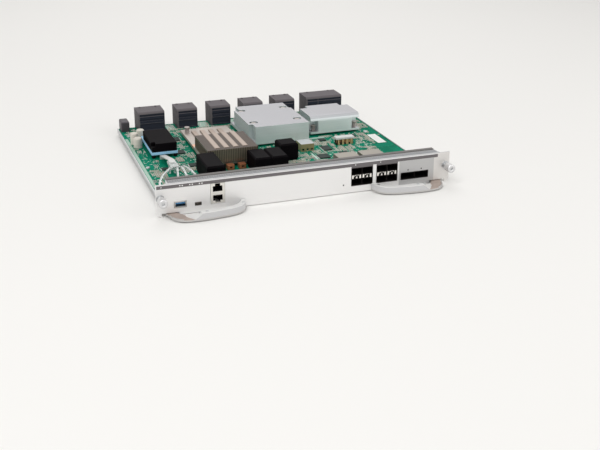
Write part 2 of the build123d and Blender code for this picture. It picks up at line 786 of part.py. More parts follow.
with BuildPart() as lever_arm_left:
    with BuildSketch(from_end(arm_z)):
        with BuildLine():
            inner_end, root = bow_outline()
            # Neck through the slot, then the pawl behind the faceplate
            Line(inner_end, (25.2, -0.5))
            Spline((25.2, -0.5), (22.0, 5.5), (17.0, 10.5), tangents=((-0.3, 1.0), (-1.0, 0.0)))
            Polyline((17.0, 10.5), (6.5, 11.5), (3.2, 9.0), (5.5, 6.6), (11.8, 4.4), (11.6, -1.0))
            heel_curve()
        make_face()
    extrude(amount=arm_t)
    # Low rim pressed up along the heel's edge
    with BuildSketch(from_end(arm_top)):
        with BuildLine():
            edge = heel_curve()
            inside = heel_curve(0.8 * rim_w, 0.6 * rim_w)
            Line(edge @ 0, inside @ 0)
            Line(edge @ 1, inside @ 1)
        make_face()
        with Locations((20, -3)):
            Rectangle(40, 9, mode=Mode.SUBTRACT)
    extrude(amount=rim_h)
    with BuildSketch(from_end(arm_z)):
        with Locations((pin_x, pin_y)):
            Circle(pin_r + fit_gap)
        with Locations(rivet_places):
            Circle(rivet_r)
    extrude(amount=arm_t, mode=Mode.SUBTRACT)
lever_arm_left.part.label = "lever_arm_left"
export_step(lever_arm_left.part, "parts/lever_arm_left.step")

with BuildPart() as lever_handle_left:
    with BuildSketch(from_end(arm_top)):
        with BuildLine():
            inner_end, root = bow_outline()
            Line(inner_end, root)
        make_face()
    extrude(amount=handle_top - arm_top)
    fillet(edges().group_by(Axis.Z)[-1].sort_by(Axis.Y)[0], 1.2)
    # Outer end sloped down to the bare heel of the arm
    foot_x, foot_y = ramp_foot
    ramp_plane = Plane(
        origin=(foot_x - plate_w / 2, face_y + foot_y, 0),
        x_dir=Vector(1, 0, 0).rotate(Axis.Z, ramp_angle + 90),
        z_dir=Vector(1, 0, 0).rotate(Axis.Z, ramp_angle),
    )
    with BuildSketch(ramp_plane):
        with BuildLine():
            Polyline(
                (0, arm_top),
                (ramp_run, handle_top),
                (ramp_run, handle_top + 5),
                (-lever_reach, handle_top + 5),
                (-lever_reach, arm_top),
                close=True,
            )
        make_face()
    extrude(amount=lever_reach, both=True, mode=Mode.SUBTRACT)
    # Hollow behind the skirt, open towards the faceplate
    with BuildSketch(from_end(arm_top)):
        with BuildLine():
            inner_end, root = bow_outline(*skirt_shift)
            Line(inner_end, root)
        make_face()
        with Locations(((foot_end + tip_foot) / 2, -lever_reach / 2)):
            Rectangle(tip_foot - foot_end, 2 * lever_reach, mode=Mode.INTERSECT)
    extrude(amount=handle_top - handle_web_t - arm_top, mode=Mode.SUBTRACT)
    with BuildSketch(from_end(arm_top)):
        with Locations(rivet_places):
            Circle(rivet_r)
    extrude(amount=handle_top - arm_top, mode=Mode.SUBTRACT)
lever_handle_left.part.label = "lever_handle_left"
export_step(lever_handle_left.part, "parts/lever_handle_left.step")

with BuildPart() as lever_rivets_left:
    with BuildSketch(from_end(arm_z)):
        with Locations(rivet_places):
            Circle(rivet_r)
    extrude(amount=handle_top - arm_z)
    with BuildSketch(from_end(handle_top)):
        with Locations(rivet_places):
            Circle(rivet_head_r)
    extrude(amount=rivet_head_h, taper=20)
lever_rivets_left.part.label = "lever_rivets_left"
export_step(lever_rivets_left.part, "parts/lever_rivets_left.step")

# Pins riveted in the tray, each with a head below the arm and a shoulder above it
pin_head_r = 4.2
pin_swage_h = 0.8
with BuildPart() as lever_pins:
    pin_plane = Plane(origin=(pin_x - plate_w / 2, face_y + pin_y, 0), x_dir=(1, 0, 0), z_dir=(0, -1, 0))
    with BuildSketch(pin_plane):
        with BuildLine():
            Polyline(
                (0, 0.1),
                (pin_head_r, 0.1),
                (pin_head_r, arm_z - 0.1),
                (pin_r, arm_z - 0.1),
                (pin_r, arm_top + 0.1),
                (pin_shoulder_r, arm_top + 0.1),
                (pin_shoulder_r, tray_z),
                (pin_r, tray_z),
                (pin_r, tray_z + tray_t),
                (pin_r + 0.6, tray_z + tray_t),
                (pin_r, tray_z + tray_t + pin_swage_h),
                (0, tray_z + tray_t + pin_swage_h),
                close=True,
            )
        make_face()
    revolve(axis=Axis((pin_x - plate_w / 2, face_y + pin_y, 0), (0, 0, 1)))
    mirror(about=Plane.YZ)
lever_pins.part.label = "lever_pins"
export_step(lever_pins.part, "parts/lever_pins.step")

for name, piece in (
    ("lever_arm_right", lever_arm_left),
    ("lever_handle_right", lever_handle_left),
    ("lever_rivets_right", lever_rivets_left),
):
    with BuildPart() as mirrored:
        mirror(piece.part, about=Plane.YZ)
    mirrored.part.label = name
    export_step(mirrored.part, f"parts/{name}.step")

# Processor cooler: base plate, zipped fins across the board, and four flat heat pipes
with BuildPart() as cpu_base:
    with BuildSketch(level(cpu_base_z)):
        with Locations((cpu_x, (cpu_fin_start + 3 + cpu_base_rear) / 2)):
            Rectangle(cpu_base_w, cpu_base_rear - cpu_fin_start - 3)
        with Locations(cpu_screw_places):
            Circle(cooler_screw_r + fit_gap, mode=Mode.SUBTRACT)
    extrude(amount=cpu_base_t)
cpu_base.part.label = "cpu_base"
export_step(cpu_base.part, "parts/cpu_base.step")

with BuildPart() as cpu_fins:
    with BuildSketch(side(cpu_x - cpu_fin_w / 2)):
        with Locations(((cpu_fin_start + cpu_fin_rear) / 2, (cpu_fin_bottom + cpu_top) / 2)):
            Rectangle(cpu_fin_rear - cpu_fin_start, cpu_top - cpu_fin_bottom)
            fin_count = int((cpu_fin_rear - cpu_fin_start - fin_t) / cpu_fin_pitch)
            with GridLocations(cpu_fin_pitch, 1, fin_count, 1):
                Rectangle(
                    cpu_fin_pitch - fin_t,
                    cpu_top - cpu_fin_bottom - 2 * (pipe_sink + fin_t),
                    mode=Mode.SUBTRACT,
                )
    extrude(amount=cpu_fin_w)
    # Grooves for the heat pipes
    with BuildSketch(facing(cpu_fin_start + 6)):
        with Locations((cpu_x, cpu_top - pipe_sink / 2)):
            with GridLocations(pipe_pitch, 1, pipe_count, 1):
                Rectangle(pipe_w + 2 * fit_gap, pipe_sink)
    extrude(amount=-(cpu_fin_rear - cpu_fin_start), mode=Mode.SUBTRACT)
cpu_fins.part.label = "cpu_fins"
export_step(cpu_fins.part, "parts/cpu_fins.step")

pipe_high = cpu_top - pipe_sink + pipe_t / 2
pipe_low = cpu_fin_bottom + pipe_t / 2
with BuildPart() as heat_pipes:
    for i in range(pipe_count):
        pipe_x = cpu_x + (i - (pipe_count - 1) / 2) * pipe_pitch
        with BuildLine(side(pipe_x)) as route:
            FilletPolyline(
                (cpu_fin_start + 7, pipe_high),
                (cpu_fin_rear + 4, pipe_high),
                (cpu_fin_rear + 18, pipe_low),
                (cpu_base_rear - 17, pipe_low),
                radius=5,
            )
        with BuildSketch(Plane(origin=route.line @ 0, x_dir=(1, 0, 0), z_dir=route.line % 0)):
            RectangleRounded(pipe_w, pipe_t, 1.1)
        sweep()
heat_pipes.part.label = "heat_pipes"
export_step(heat_pipes.part, "parts/heat_pipes.step")

# Two finned coolers over the switch chips. Each is a base, a closed fin stack and spring screws.
with BuildPart() as cooler_bases:
    for c in (large_cooler, small_cooler):
        with BuildSketch(level(cooler_base_z)):
            with Locations((c["x"], c["y"])):
                Rectangle(c["w"], c["d"])
                with GridLocations(*c["screws"], 2, 2):
                    Circle(cooler_screw_r + fit_gap, mode=Mode.SUBTRACT)
        extrude(amount=cooler_base_t)
cooler_bases.part.label = "cooler_bases"
export_step(cooler_bases.part, "parts/cooler_bases.step")

# Large stack: closed top, air channels across the board, slots for the spring screws
with BuildPart() as cooler_fins_large:
    c = large_cooler
    with BuildSketch(side(c["x"] - c["w"] / 2)):
        with Locations((c["y"], (stack_z + cooler_top) / 2)):
            Rectangle(c["d"], cooler_top - stack_z)
            with GridLocations(zip_pitch, 1, int(c["d"] / zip_pitch) - 1, 1):
                Rectangle(zip_pitch - fin_t, cooler_top - stack_z - 2 * fin_t, mode=Mode.SUBTRACT)
    extrude(amount=c["w"])
    # Stepped corners at the front left and at the rear
    with BuildSketch(level(stack_z)):
        with Locations((c["x"] - c["w"] / 2, c["y"] - c["d"] / 2)):
            Rectangle(12, 30)
        with Locations((c["x"] + c["w"] / 2, c["y"] + c["d"] / 2)):
            Rectangle(6, 60)
        with Locations((c["x"] - c["w"] / 2, c["y"] + c["d"] / 2)):
            Rectangle(16, 40)
    extrude(amount=cooler_top - stack_z, mode=Mode.SUBTRACT)
    with BuildSketch(level(stack_z)):
        with Locations((c["x"], c["y"])):
            with GridLocations(*c["screws"], 2, 2):
                SlotOverall(2 * screw_bay + 2, 2 * screw_bay - 1)
    extrude(amount=cooler_top - stack_z, mode=Mode.SUBTRACT)
cooler_fins_large.part.label = "cooler_fins_large"
export_step(cooler_fins_large.part, "parts/cooler_fins_large.step")

# Small stack: the same build, with a rounded lower front edge
with BuildPart() as cooler_fins_small:
    c = small_cooler
    with BuildSketch(side(c["x"] - c["w"] / 2)):
        with Locations((c["y"], (stack_z + cooler_top) / 2)):
            Rectangle(c["d"], cooler_top - stack_z)
        fillet(vertices().group_by(Axis.X)[0].sort_by(Axis.Y)[0], small_round)
        with Locations((c["y"] + small_round / 2, (stack_z + cooler_top) / 2)):
            with GridLocations(zip_pitch, 1, int((c["d"] - small_round) / zip_pitch) - 1, 1):
                Rectangle(zip_pitch - fin_t, cooler_top - stack_z - 2 * fin_t, mode=Mode.SUBTRACT)
        with Locations((c["y"] - c["d"] / 2 + small_round / 2, (stack_z + cooler_top - small_round) / 2)):
            with GridLocations(zip_pitch, 1, 2, 1):
                Rectangle(zip_pitch - fin_t, cooler_top - stack_z - small_round, mode=Mode.SUBTRACT)
    extrude(amount=c["w"])
    with BuildSketch(level(stack_z)):
        with Locations((c["x"], c["y"])):
            with GridLocations(*c["screws"], 2, 2):
                Rectangle(2 * screw_bay + 2, 2 * screw_bay)
        # The two front bays are open to the front
        with Locations((c["x"], c["y"] - c["d"] / 2)):
            with GridLocations(c["screws"][0], 1, 2, 1):
                Rectangle(2 * screw_bay + 2, c["d"] - c["screws"][1])
    extrude(amount=cooler_top - stack_z, mode=Mode.SUBTRACT)
cooler_fins_small.part.label = "cooler_fins_small"
export_step(cooler_fins_small.part, "parts/cooler_fins_small.step")

# Spring screws of the three coolers: shank into the board, sleeve on the base, round head
with BuildPart() as cooler_screws:
    for x, y, foot, top in cooler_screw_places:
        with BuildSketch(level(board_z)):
            with Locations((x, y)):
                Circle(cooler_screw_r)
        extrude(amount=top - board_z)
        with BuildSketch(level(foot)):
            with Locations((x, y)):
                Circle(cooler_head_r - 0.8)
        extrude(amount=top - foot - 3)
        with BuildSketch(level(top - 2)):
            with Locations((x, y)):
                Circle(cooler_head_r)
        extrude(amount=2)
cooler_screws.part.label = "cooler_screws"
export_step(cooler_screws.part, "parts/cooler_screws.step")

# Large chips under the three coolers: substrate and lid
chip_packages_list = [
    (cpu_x, 238.0, 42.0, 42.0, cpu_base_z),
    (large_cooler["x"], large_cooler["y"], 45.0, 45.0, cooler_base_z),
    (small_cooler["x"], small_cooler["y"], 40.0, 40.0, cooler_base_z),
]
substrate_t = 1.2
with BuildPart() as chip_packages:
    for x, y, w, d, top in chip_packages_list:
        with BuildSketch(level(board_top)):
            with Locations((x, y)):
                Rectangle(w, d)
        extrude(amount=substrate_t)
        with BuildSketch(level(board_top + substrate_t)):
            with Locations((x, y)):
                RectangleRounded(0.75 * w, 0.75 * d, 2)
        extrude(amount=top - board_top - substrate_t)
chip_packages.part.label = "chip_packages"
export_step(chip_packages.part, "parts/chip_packages.step")

# Black power modules behind the faceplate: place, size and top of each
power_places = [
    (-102.2, 88.0, 24.5, 57.0, 34.0),
    (-34.8, 96.4, 22.0, 39.6, 32.0),
    (-12.0, 96.4, 22.0, 39.6, 32.0),
    (14.6, 131.0, 25.0, 26.0, 33.0),
]
with BuildPart() as power_modules:
    for x, y, w, d, top in power_places:
        with BuildSketch(level(board_top)):
            with Locations((x, y)):
                Rectangle(w - 1.6, d - 1.6)
        extrude(amount=top - board_top - 2)
        with BuildSketch(level(board_top + 3)):
            with Locations((x, y)):
                Rectangle(w, d)
        extrude(amount=top - board_top - 5)
        with BuildSketch(level(top - 2)):
            with Locations((x, y)):
                Rectangle(w, d)
        extrude(amount=2, taper=40)
power_modules.part.label = "power_modules"
export_step(power_modules.part, "parts/power_modules.step")

# Copper inductors in front of the processor cooler
with BuildPart() as inductors:
    with BuildSketch(level(board_top)):
        with Locations([(-70.0, 112.0), (-54.0, 112.0)]):
            RectangleRounded(9.6, 9.6, 1.2)
    extrude(amount=6.4)
    with BuildSketch(level(board_top + 2)):
        with Locations([(-70.0, 112.0), (-54.0, 112.0)]):
            Rectangle(3, 12)
    extrude(amount=2.6, mode=Mode.SUBTRACT)
inductors.part.label = "inductors"
export_step(inductors.part, "parts/inductors.step")

# Clock module: a brass frame with windows, under a flat lid
clock_x = 51.4
clock_y = 158.5
clock_w = 19.0
clock_d = 22.0
clock_wall_h = 9.6
with BuildPart() as clock_module:
    with BuildSketch(level(board_top)):
        with Locations((clock_x, clock_y)):
            Rectangle(clock_w, clock_d)
            Rectangle(clock_w - 2, clock_d - 2, mode=Mode.SUBTRACT)
    extrude(amount=clock_wall_h)
    with BuildSketch(level(board_top + 1.2)):
        with Locations((clock_x, clock_y)):
            with GridLocations(clock_w / 3, 1, 3, 1):
                Rectangle(3.2, clock_d + 2)
    extrude(amount=3, mode=Mode.SUBTRACT)
    with BuildSketch(level(board_top + clock_wall_h)):
        with Locations((clock_x, clock_y)):
            RectangleRounded(clock_w, clock_d, 1)
    extrude(amount=1.2)
clock_module.part.label = "clock_module"
export_step(clock_module.part, "parts/clock_module.step")

# Transformer: white cap on copper legs
xfmr_x = 112.4
xfmr_y = 164.0
xfmr_w = 28.0
xfmr_d = 10.0
with BuildPart() as transformer_legs:
    with BuildSketch(level(board_top)):
        with Locations((xfmr_x, xfmr_y)):
            with GridLocations(xfmr_w / 4, xfmr_d - 3, 4, 2):
                Rectangle(3.4, 2.4)
    extrude(amount=8)
    with BuildSketch(level(board_top)):
        with Locations((xfmr_x, xfmr_y)):
            Rectangle(xfmr_w - 2, xfmr_d - 2)
    extrude(amount=2)
transformer_legs.part.label = "transformer_legs"
export_step(transformer_legs.part, "parts/transformer_legs.step")

with BuildPart() as transformer_cap:
    with BuildSketch(level(board_top + 8)):
        with Locations((xfmr_x, xfmr_y)):
            Rectangle(xfmr_w, xfmr_d)
    extrude(amount=3)
    chamfer(edges().group_by(Axis.Z)[-1], 0.6)
transformer_cap.part.label = "transformer_cap"
export_step(transformer_cap.part, "parts/transformer_cap.step")

# Flat chips all over the board: place, size and height
chips = [
    (64, 118, 15, 15, 1.6), (96, 122, 12, 12, 1.4), (80, 150, 12, 18, 1.6), (20, 172, 12, 10, 1.4),
    (88, 188, 10, 10, 1.4), (136, 192, 10, 10, 1.4), (-86, 296, 12, 12, 1.4), (49, 310, 10, 8, 1.4),
    (left_end + 79.5, 142, 12, 12, 1.4), (left_end + 73.5, 200, 14, 14, 1.6),
    (left_end + 81.5, 260, 10, 16, 1.4), (left_end + 41.5, 138, 12, 8, 1.4),
]
with BuildPart() as board_chips:
    for x, y, w, d, h in chips:
        with BuildSketch(level(board_top)):
            with Locations((x, y)):
                Rectangle(w, d)
        extrude(amount=h)
board_chips.part.label = "board_chips"
export_step(board_chips.part, "parts/board_chips.step")

# Round capacitors at the left edge: place, radius and top
capacitor_places = [
    (left_end + 23.5, 242.0, 6.2, 23.6),
    (left_end + 21.4, 258.6, 5.4, 26.0),
    (left_end + 32.6, 272.2, 5.6, 26.0),
]
cap_round = 1.2
cap_dish = 0.6
with BuildPart() as capacitors:
    for x, y, r, top in capacitor_places:
        with BuildSketch(Plane(origin=(x, face_y + y, 0), x_dir=(1, 0, 0), z_dir=(0, -1, 0))):
            with BuildLine():
                Polyline(
                    (0, board_top),
                    (r, board_top),
                    (r, board_top + 2.4),
                    (r - 0.5, board_top + 2.9),
                    (r - 0.5, board_top + 3.6),
                    (r, board_top + 4.1),
                    (r, top - cap_round),
                    (r - cap_round, top),
                    (r - cap_round - 0.6, top - cap_dish),
                    (0, top - cap_dish),
                    close=True,
                )
            make_face()
        revolve(axis=Axis((x, face_y + y, 0), (0, 0, 1)))
capacitors.part.label = "capacitors"
export_step(capacitors.part, "parts/capacitors.step")

# Raised management board at the left, with its connector, posts and black cooler
mgmt_x = left_end + 49.9
mgmt_y = 225.0
mgmt_w = 36.0
mgmt_d = 80.0
mgmt_z = 14.2
mgmt_t = 3.8
post_places = [
    (mgmt_x + ex * (mgmt_w / 2 - 3), mgmt_y + ey * (mgmt_d / 2 - 3))
    for ex in (-1, 1)
    for ey in (-1, 1)
]
with BuildPart() as management_board:
    with BuildSketch(level(mgmt_z)):
        with Locations((mgmt_x, mgmt_y)):
            Rectangle(mgmt_w, mgmt_d)
    extrude(amount=mgmt_t)
management_board.part.label = "management_board"
export_step(management_board.part, "parts/management_board.step")

with BuildPart() as management_supports:
    with BuildSketch(level(board_top)):
        with Locations(post_places):
            RegularPolygon(2.6, 6)
        with Locations((mgmt_x, mgmt_y)):
            RectangleRounded(8, mgmt_d - 20, 1)
    extrude(amount=mgmt_z - board_top)
management_supports.part.label = "management_supports"
export_step(management_supports.part, "parts/management_supports.step")

mgmt_block_w = mgmt_w - 2.0
mgmt_block_d = 66.0
mgmt_block_y = mgmt_y - mgmt_d / 2 + 0.4 + mgmt_block_d / 2
mgmt_top = 30.0
mgmt_notch_w = 5.5
mgmt_notch_d = 9.0
mgmt_notch_h = 5.0
mgmt_groove = 2.6
with BuildPart() as management_cooler:
    with BuildSketch(side(mgmt_x - mgmt_block_w / 2)):
        with Locations((mgmt_block_y, (mgmt_z + mgmt_t + mgmt_top) / 2)):
            Rectangle(mgmt_block_d, mgmt_top - mgmt_z - mgmt_t)
            with GridLocations(4.4, 1, int(mgmt_block_d / 4.4) - 2, 1):
                Rectangle(mgmt_groove, mgmt_top - mgmt_z - mgmt_t - 6, mode=Mode.SUBTRACT)
    extrude(amount=mgmt_block_w)
    # Lower corner at the front left
    with BuildSketch(level(mgmt_top - mgmt_notch_h)):
        with Locations((mgmt_x - mgmt_block_w / 2, mgmt_block_y - mgmt_block_d / 2)):
            Rectangle(2 * mgmt_notch_w, 2 * mgmt_notch_d)
    extrude(amount=mgmt_notch_h + 1, mode=Mode.SUBTRACT)
management_cooler.part.label = "management_cooler"
export_step(management_cooler.part, "parts/management_cooler.step")

# Guide receptacle at the rear left corner, bored for the chassis guide pin
guide_x = left_end + 19.6
guide_w = 12.2
guide_d = 22.0
guide_h = 15.0
guide_bore_r = 3.5
guide_bore_d = 18.0
guide_z = board_top + 7.8
with BuildPart() as guide_receptacle:
    with BuildSketch(level(board_top)):
        with Locations((guide_x, rear_reach - 4 - guide_d / 2)):
            RectangleRounded(guide_w, guide_d, 1.5)
    extrude(amount=guide_h)
    chamfer(edges().group_by(Axis.Z)[-1], 1.2)
    with BuildSketch(facing(rear_reach - 4 - guide_bore_d)):
        with Locations((guide_x, guide_z)):
            Circle(guide_bore_r)
    extrude(amount=-guide_bore_d - 1, mode=Mode.SUBTRACT)
guide_receptacle.part.label = "guide_receptacle"
export_step(guide_receptacle.part, "parts/guide_receptacle.step")

# Backplane connectors along the rear edge, each overhanging the board
connector_front = 313.0
connector_top = 38.5
connector_round = 3.0
connector_wall = 1.6
wafer_pitch = 3.6
wafer_groove = 1.2
connector_w = 31.0
bump_w = 2.6
bump_d = 3.0
bump_h = 0.9
connector_groups = {
    "backplane_connectors": [
        (left_end + 57.5, 39.5), (left_end + 111.5, connector_w), (-28.5, connector_w),
        (23.0, connector_w), (right_end - 117.0, connector_w),
    ],
    "backplane_connector_wide": [(right_end - 52.5, 59.0)],
}
for name, group in connector_groups.items():
    with BuildPart() as backplane_connector:
        for x, w in group:
            # Rounded top front corner, and a foot that overhangs the board's edge
            with BuildSketch(side(x - w / 2)):
                with BuildLine():
                    Polyline(
                        (connector_front, board_top),
                        (board_rear + fit_gap, board_top),
                        (board_rear + fit_gap, board_z),
                        (rear_reach, board_z),
                        (rear_reach, connector_top),
                        (connector_front + connector_round, connector_top),
                    )
                    RadiusArc(
                        (connector_front + connector_round, connector_top),
                        (connector_front, connector_top - connector_round),
                        -connector_round,
                    )
                    Line((connector_front, connector_top - connector_round), (connector_front, board_top))
                make_face()
            extrude(amount=w)
            # Recessed bands across the front
            with BuildSketch(facing(connector_front)):
                with Locations((x, connector_top - 5.4), (x, board_top + 17.2)):
                    Rectangle(w - 2 * connector_wall, 2.4)
                with Locations((x, board_top + 6.6)):
                    Rectangle(w - 2 * connector_wall, 9)
            extrude(amount=-0.8, mode=Mode.SUBTRACT)
            # Grooves between the contact wafers of the mating face
            with BuildSketch(facing(rear_reach)):
                with Locations((x, (board_z + connector_top) / 2)):
                    with GridLocations(wafer_pitch, 1, int((w - 2) / wafer_pitch), 1):
                        Rectangle(wafer_groove, connector_top - board_z - 2 * connector_wall)
            extrude(amount=wafer_groove, mode=Mode.SUBTRACT)
            # Two keying bumps on the top, near the mating face
            with BuildSketch(level(connector_top)):
                with Locations((x, rear_reach - 4)):
                    with GridLocations(0.6 * w, 1, 2, 1):
                        Rectangle(bump_w, bump_d)
            extrude(amount=bump_h)
    backplane_connector.part.label = name
    export_step(backplane_connector.part, f"parts/{name}.step")

# Clear light pipes from the board to the indicator strip, moulded as one piece
hub_x = left_end + 46.0
hub_y = 112.0
hub_z = 22.0
hub_w = 11.0
hub_d = 30.0
hub_t = 3.0
pipe_end_y = plate_t + 0.3
arm_w = 3.4
arm_h = 2.2
light_targets = [left_end + x for x in (7.0, 30.8, 42.7, 54.4)]
with BuildPart() as light_pipes:
    with BuildSketch(level(hub_z)):
        with Locations((hub_x, hub_y)):
            RectangleRounded(hub_w, hub_d, 2)
    extrude(amount=hub_t)
    # Legs down to the lamps on the board
    with BuildSketch(level(board_top)):
        with Locations([(hub_x + ex * 3.5, hub_y + 9) for ex in (-1, 1)]):
            Rectangle(2.4, 4)
    extrude(amount=hub_z - board_top)
    for i, target in enumerate(light_targets):
        root_x = hub_x + (i - 1.5) * 2.2
        root_y = face_y + hub_y - hub_d / 2 + 2
        root_z = hub_z + hub_t / 2
        with BuildLine() as arm_route:
            Bezier(
                (root_x, root_y, root_z),
                (root_x, root_y - 14, strip_z),
                (target, face_y + 42, strip_z),
                (target, face_y + pipe_end_y, strip_z),
            )
        with BuildSketch(Plane(origin=arm_route.line @ 0, x_dir=(1, 0, 0), z_dir=arm_route.line % 0)):
            Rectangle(arm_w, arm_h)
        sweep()
light_pipes.part.label = "light_pipes"
export_step(light_pipes.part, "parts/light_pipes.step")

# Pale ribbon that slopes up from the management board and carries the light pipes
ribbon_w = 7.6
ribbon_t = 1.2
ribbon_leg = 2.4
ribbon_foot = mgmt_y - mgmt_d / 2 - 3.0
ribbon_end_z = 13.4
with BuildPart() as light_pipe_bracket:
    with BuildSketch(side(hub_x - ribbon_w / 2)):
        with BuildLine():
            Polyline(
                (hub_y + 3, hub_z + hub_t),
                (hub_y + hub_d / 2 + 1, hub_z + hub_t),
                (ribbon_foot - ribbon_leg, ribbon_end_z),
                (ribbon_foot - ribbon_leg, board_top),
                (ribbon_foot, board_top),
                (ribbon_foot, ribbon_end_z + ribbon_t),
                (hub_y + hub_d / 2 + 1.3, hub_z + hub_t + ribbon_t),
                (hub_y + 3, hub_z + hub_t + ribbon_t),
                close=True,
            )
        make_face()
    extrude(amount=ribbon_w)
light_pipe_bracket.part.label = "light_pipe_bracket"
export_step(light_pipe_bracket.part, "parts/light_pipe_bracket.step")
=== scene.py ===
import bpy
import numpy as np
from mathutils import Matrix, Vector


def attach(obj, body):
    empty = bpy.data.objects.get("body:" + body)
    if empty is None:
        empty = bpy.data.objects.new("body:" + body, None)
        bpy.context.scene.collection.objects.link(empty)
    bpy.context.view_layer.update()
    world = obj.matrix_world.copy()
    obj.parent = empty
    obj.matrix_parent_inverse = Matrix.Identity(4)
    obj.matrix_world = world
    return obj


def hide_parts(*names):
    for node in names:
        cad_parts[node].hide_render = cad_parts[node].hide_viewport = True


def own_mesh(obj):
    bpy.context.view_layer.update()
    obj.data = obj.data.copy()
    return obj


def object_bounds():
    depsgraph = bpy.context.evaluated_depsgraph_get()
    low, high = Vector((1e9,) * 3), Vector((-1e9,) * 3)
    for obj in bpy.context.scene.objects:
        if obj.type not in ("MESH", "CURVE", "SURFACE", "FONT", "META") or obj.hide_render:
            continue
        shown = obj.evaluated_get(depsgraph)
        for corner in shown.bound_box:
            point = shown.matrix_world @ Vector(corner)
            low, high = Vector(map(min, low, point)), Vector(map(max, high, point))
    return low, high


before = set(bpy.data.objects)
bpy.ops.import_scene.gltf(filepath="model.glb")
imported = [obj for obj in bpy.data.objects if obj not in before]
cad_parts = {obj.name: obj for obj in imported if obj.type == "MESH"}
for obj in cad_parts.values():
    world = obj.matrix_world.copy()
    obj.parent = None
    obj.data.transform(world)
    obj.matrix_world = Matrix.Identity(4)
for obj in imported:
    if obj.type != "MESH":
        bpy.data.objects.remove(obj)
solid_low, solid_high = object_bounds()

# Studio: the card stands on a plain pale floor under soft overhead light.
# Camera place, angle and lens are those of the photograph.
azimuth, elevation = np.radians(-19.19), np.radians(18.90)
camera_spot = (-0.3775, -1.17425, 0.4226)


def in_scene(name, data):
    """A new object with its data, put into the scene."""
    made = bpy.data.objects.new(name, data)
    bpy.context.scene.collection.objects.link(made)
    return made


camera_data = bpy.data.cameras.new("camera")
camera = in_scene("camera", camera_data)
camera_data.sensor_width = 36.0
camera_data.lens = 56.41
camera_data.shift_x = 0.0145
camera_data.shift_y = -0.1105
camera_data.clip_end = 20.0
back = np.array([np.sin(azimuth) * np.cos(elevation), -np.cos(azimuth) * np.cos(elevation),
                 np.sin(elevation)])
right = np.array([np.cos(azimuth), np.sin(azimuth), 0.0])
turned = np.eye(4)
turned[:3] = np.stack([right, np.cross(back, right), back, camera_spot], axis=1)
camera.matrix_world = Matrix(turned.tolist())
bpy.context.scene.camera = camera
bpy.context.scene.view_settings.view_transform = "Standard"


def softbox(name, place, aim, size, power):
    """A square area light at place that looks at aim."""
    data = bpy.data.lights.new(name, "AREA")
    data.shape = "SQUARE"
    data.size = size
    data.energy = power
    lamp = in_scene(name, data)
    away = np.array(place, float) - np.array(aim, float)
    away /= np.linalg.norm(away)
    across = np.cross((0.0, 0.0, 1.0), away)
    across /= np.linalg.norm(across)
    rows = np.eye(4)
    rows[:3] = np.stack([across, np.cross(away, across), away, np.array(place, float)], axis=1)
    lamp.matrix_world = Matrix(rows.tolist())


softbox("key_light", (-0.9, -1.1, 1.9), (0.0, 0.0, 0.0), 1.6, 21.5)
softbox("fill_light", (1.4, -1.2, 1.2), (0.0, 0.0, 0.0), 1.4, 7.0)
softbox("rear_light", (0.3, 1.5, 1.7), (0.0, 0.0, 0.0), 1.4, 10.5)

world = bpy.data.worlds.new("studio")
bpy.context.scene.world = world
world.use_nodes = True
sky = world.node_tree
sky.nodes.clear()


def put(tree, kind, **values):
    """A new shader node of a kind, with plain values on its named inputs."""
    node = tree.nodes.new("ShaderNode" + kind)
    for socket, value in values.items():
        node.inputs[socket].default_value = value
    return node


def maths(tree, operation, first, second=0.0):
    """One Math node; each operand is a socket or a number."""
    node = put(tree, "Math")
    node.operation = operation
    for slot, operand in zip(node.inputs, (first, second)):
        if isinstance(operand, (int, float)):
            slot.default_value = operand
        else:
            tree.links.new(operand, slot)
    return node.outputs[0]


# The sky lights the card warmly, but a paler tone shows in the picture, in gloss and through
# clear pieces
ray = put(sky, "LightPath").outputs
looked_at = maths(sky, "MAXIMUM", maths(sky, "MAXIMUM", ray["Is Camera Ray"], ray["Is Glossy Ray"]),
                  ray["Is Transmission Ray"])
lit = put(sky, "Background", Color=(1.0, 0.985, 0.965, 1.0), Strength=0.52)
shown = put(sky, "Background", Color=(0.905, 0.896, 0.871, 1.0))
both = put(sky, "MixShader")
sky.links.new(looked_at, both.inputs["Fac"])
sky.links.new(lit.outputs[0], both.inputs[1])
sky.links.new(shown.outputs[0], both.inputs[2])
sky.links.new(both.outputs[0], put(sky, "OutputWorld").inputs["Surface"])

floor_mesh = bpy.data.meshes.new("floor")
floor_mesh.from_pydata([(-6, -6, 0), (6, -6, 0), (6, 6, 0), (-6, 6, 0)], [], [(0, 1, 2, 3)])
floor_mesh.transform(Matrix.Translation((0.0, 0.0, float(solid_low[2]) - 0.0004)))
floor = in_scene("floor", floor_mesh)


def new_material(name, colour, metallic, roughness, **sockets):
    """A Principled material with plain socket values; returns it with its tree and shader."""
    made = bpy.data.materials.new(name)
    made.use_nodes = True
    shader = made.node_tree.nodes["Principled BSDF"]
    shader.inputs["Base Color"].default_value = (*colour, 1.0)
    shader.inputs["Metallic"].default_value = metallic
    shader.inputs["Roughness"].default_value = roughness
    for socket, value in sockets.items():
        shader.inputs[socket.replace("_", " ").title().replace("Ior", "IOR")].default_value = value
    return made, made.node_tree, shader


floor_mesh.materials.append(new_material("floor_paint", (0.905, 0.898, 0.88), 0.0, 0.9)[0])

# Faceplate: one folded steel sheet, plated bright and brushed along its length, with the
# side brackets screwed on behind. The flanges, cut-outs and slots are the solid's own.
front = -0.15875


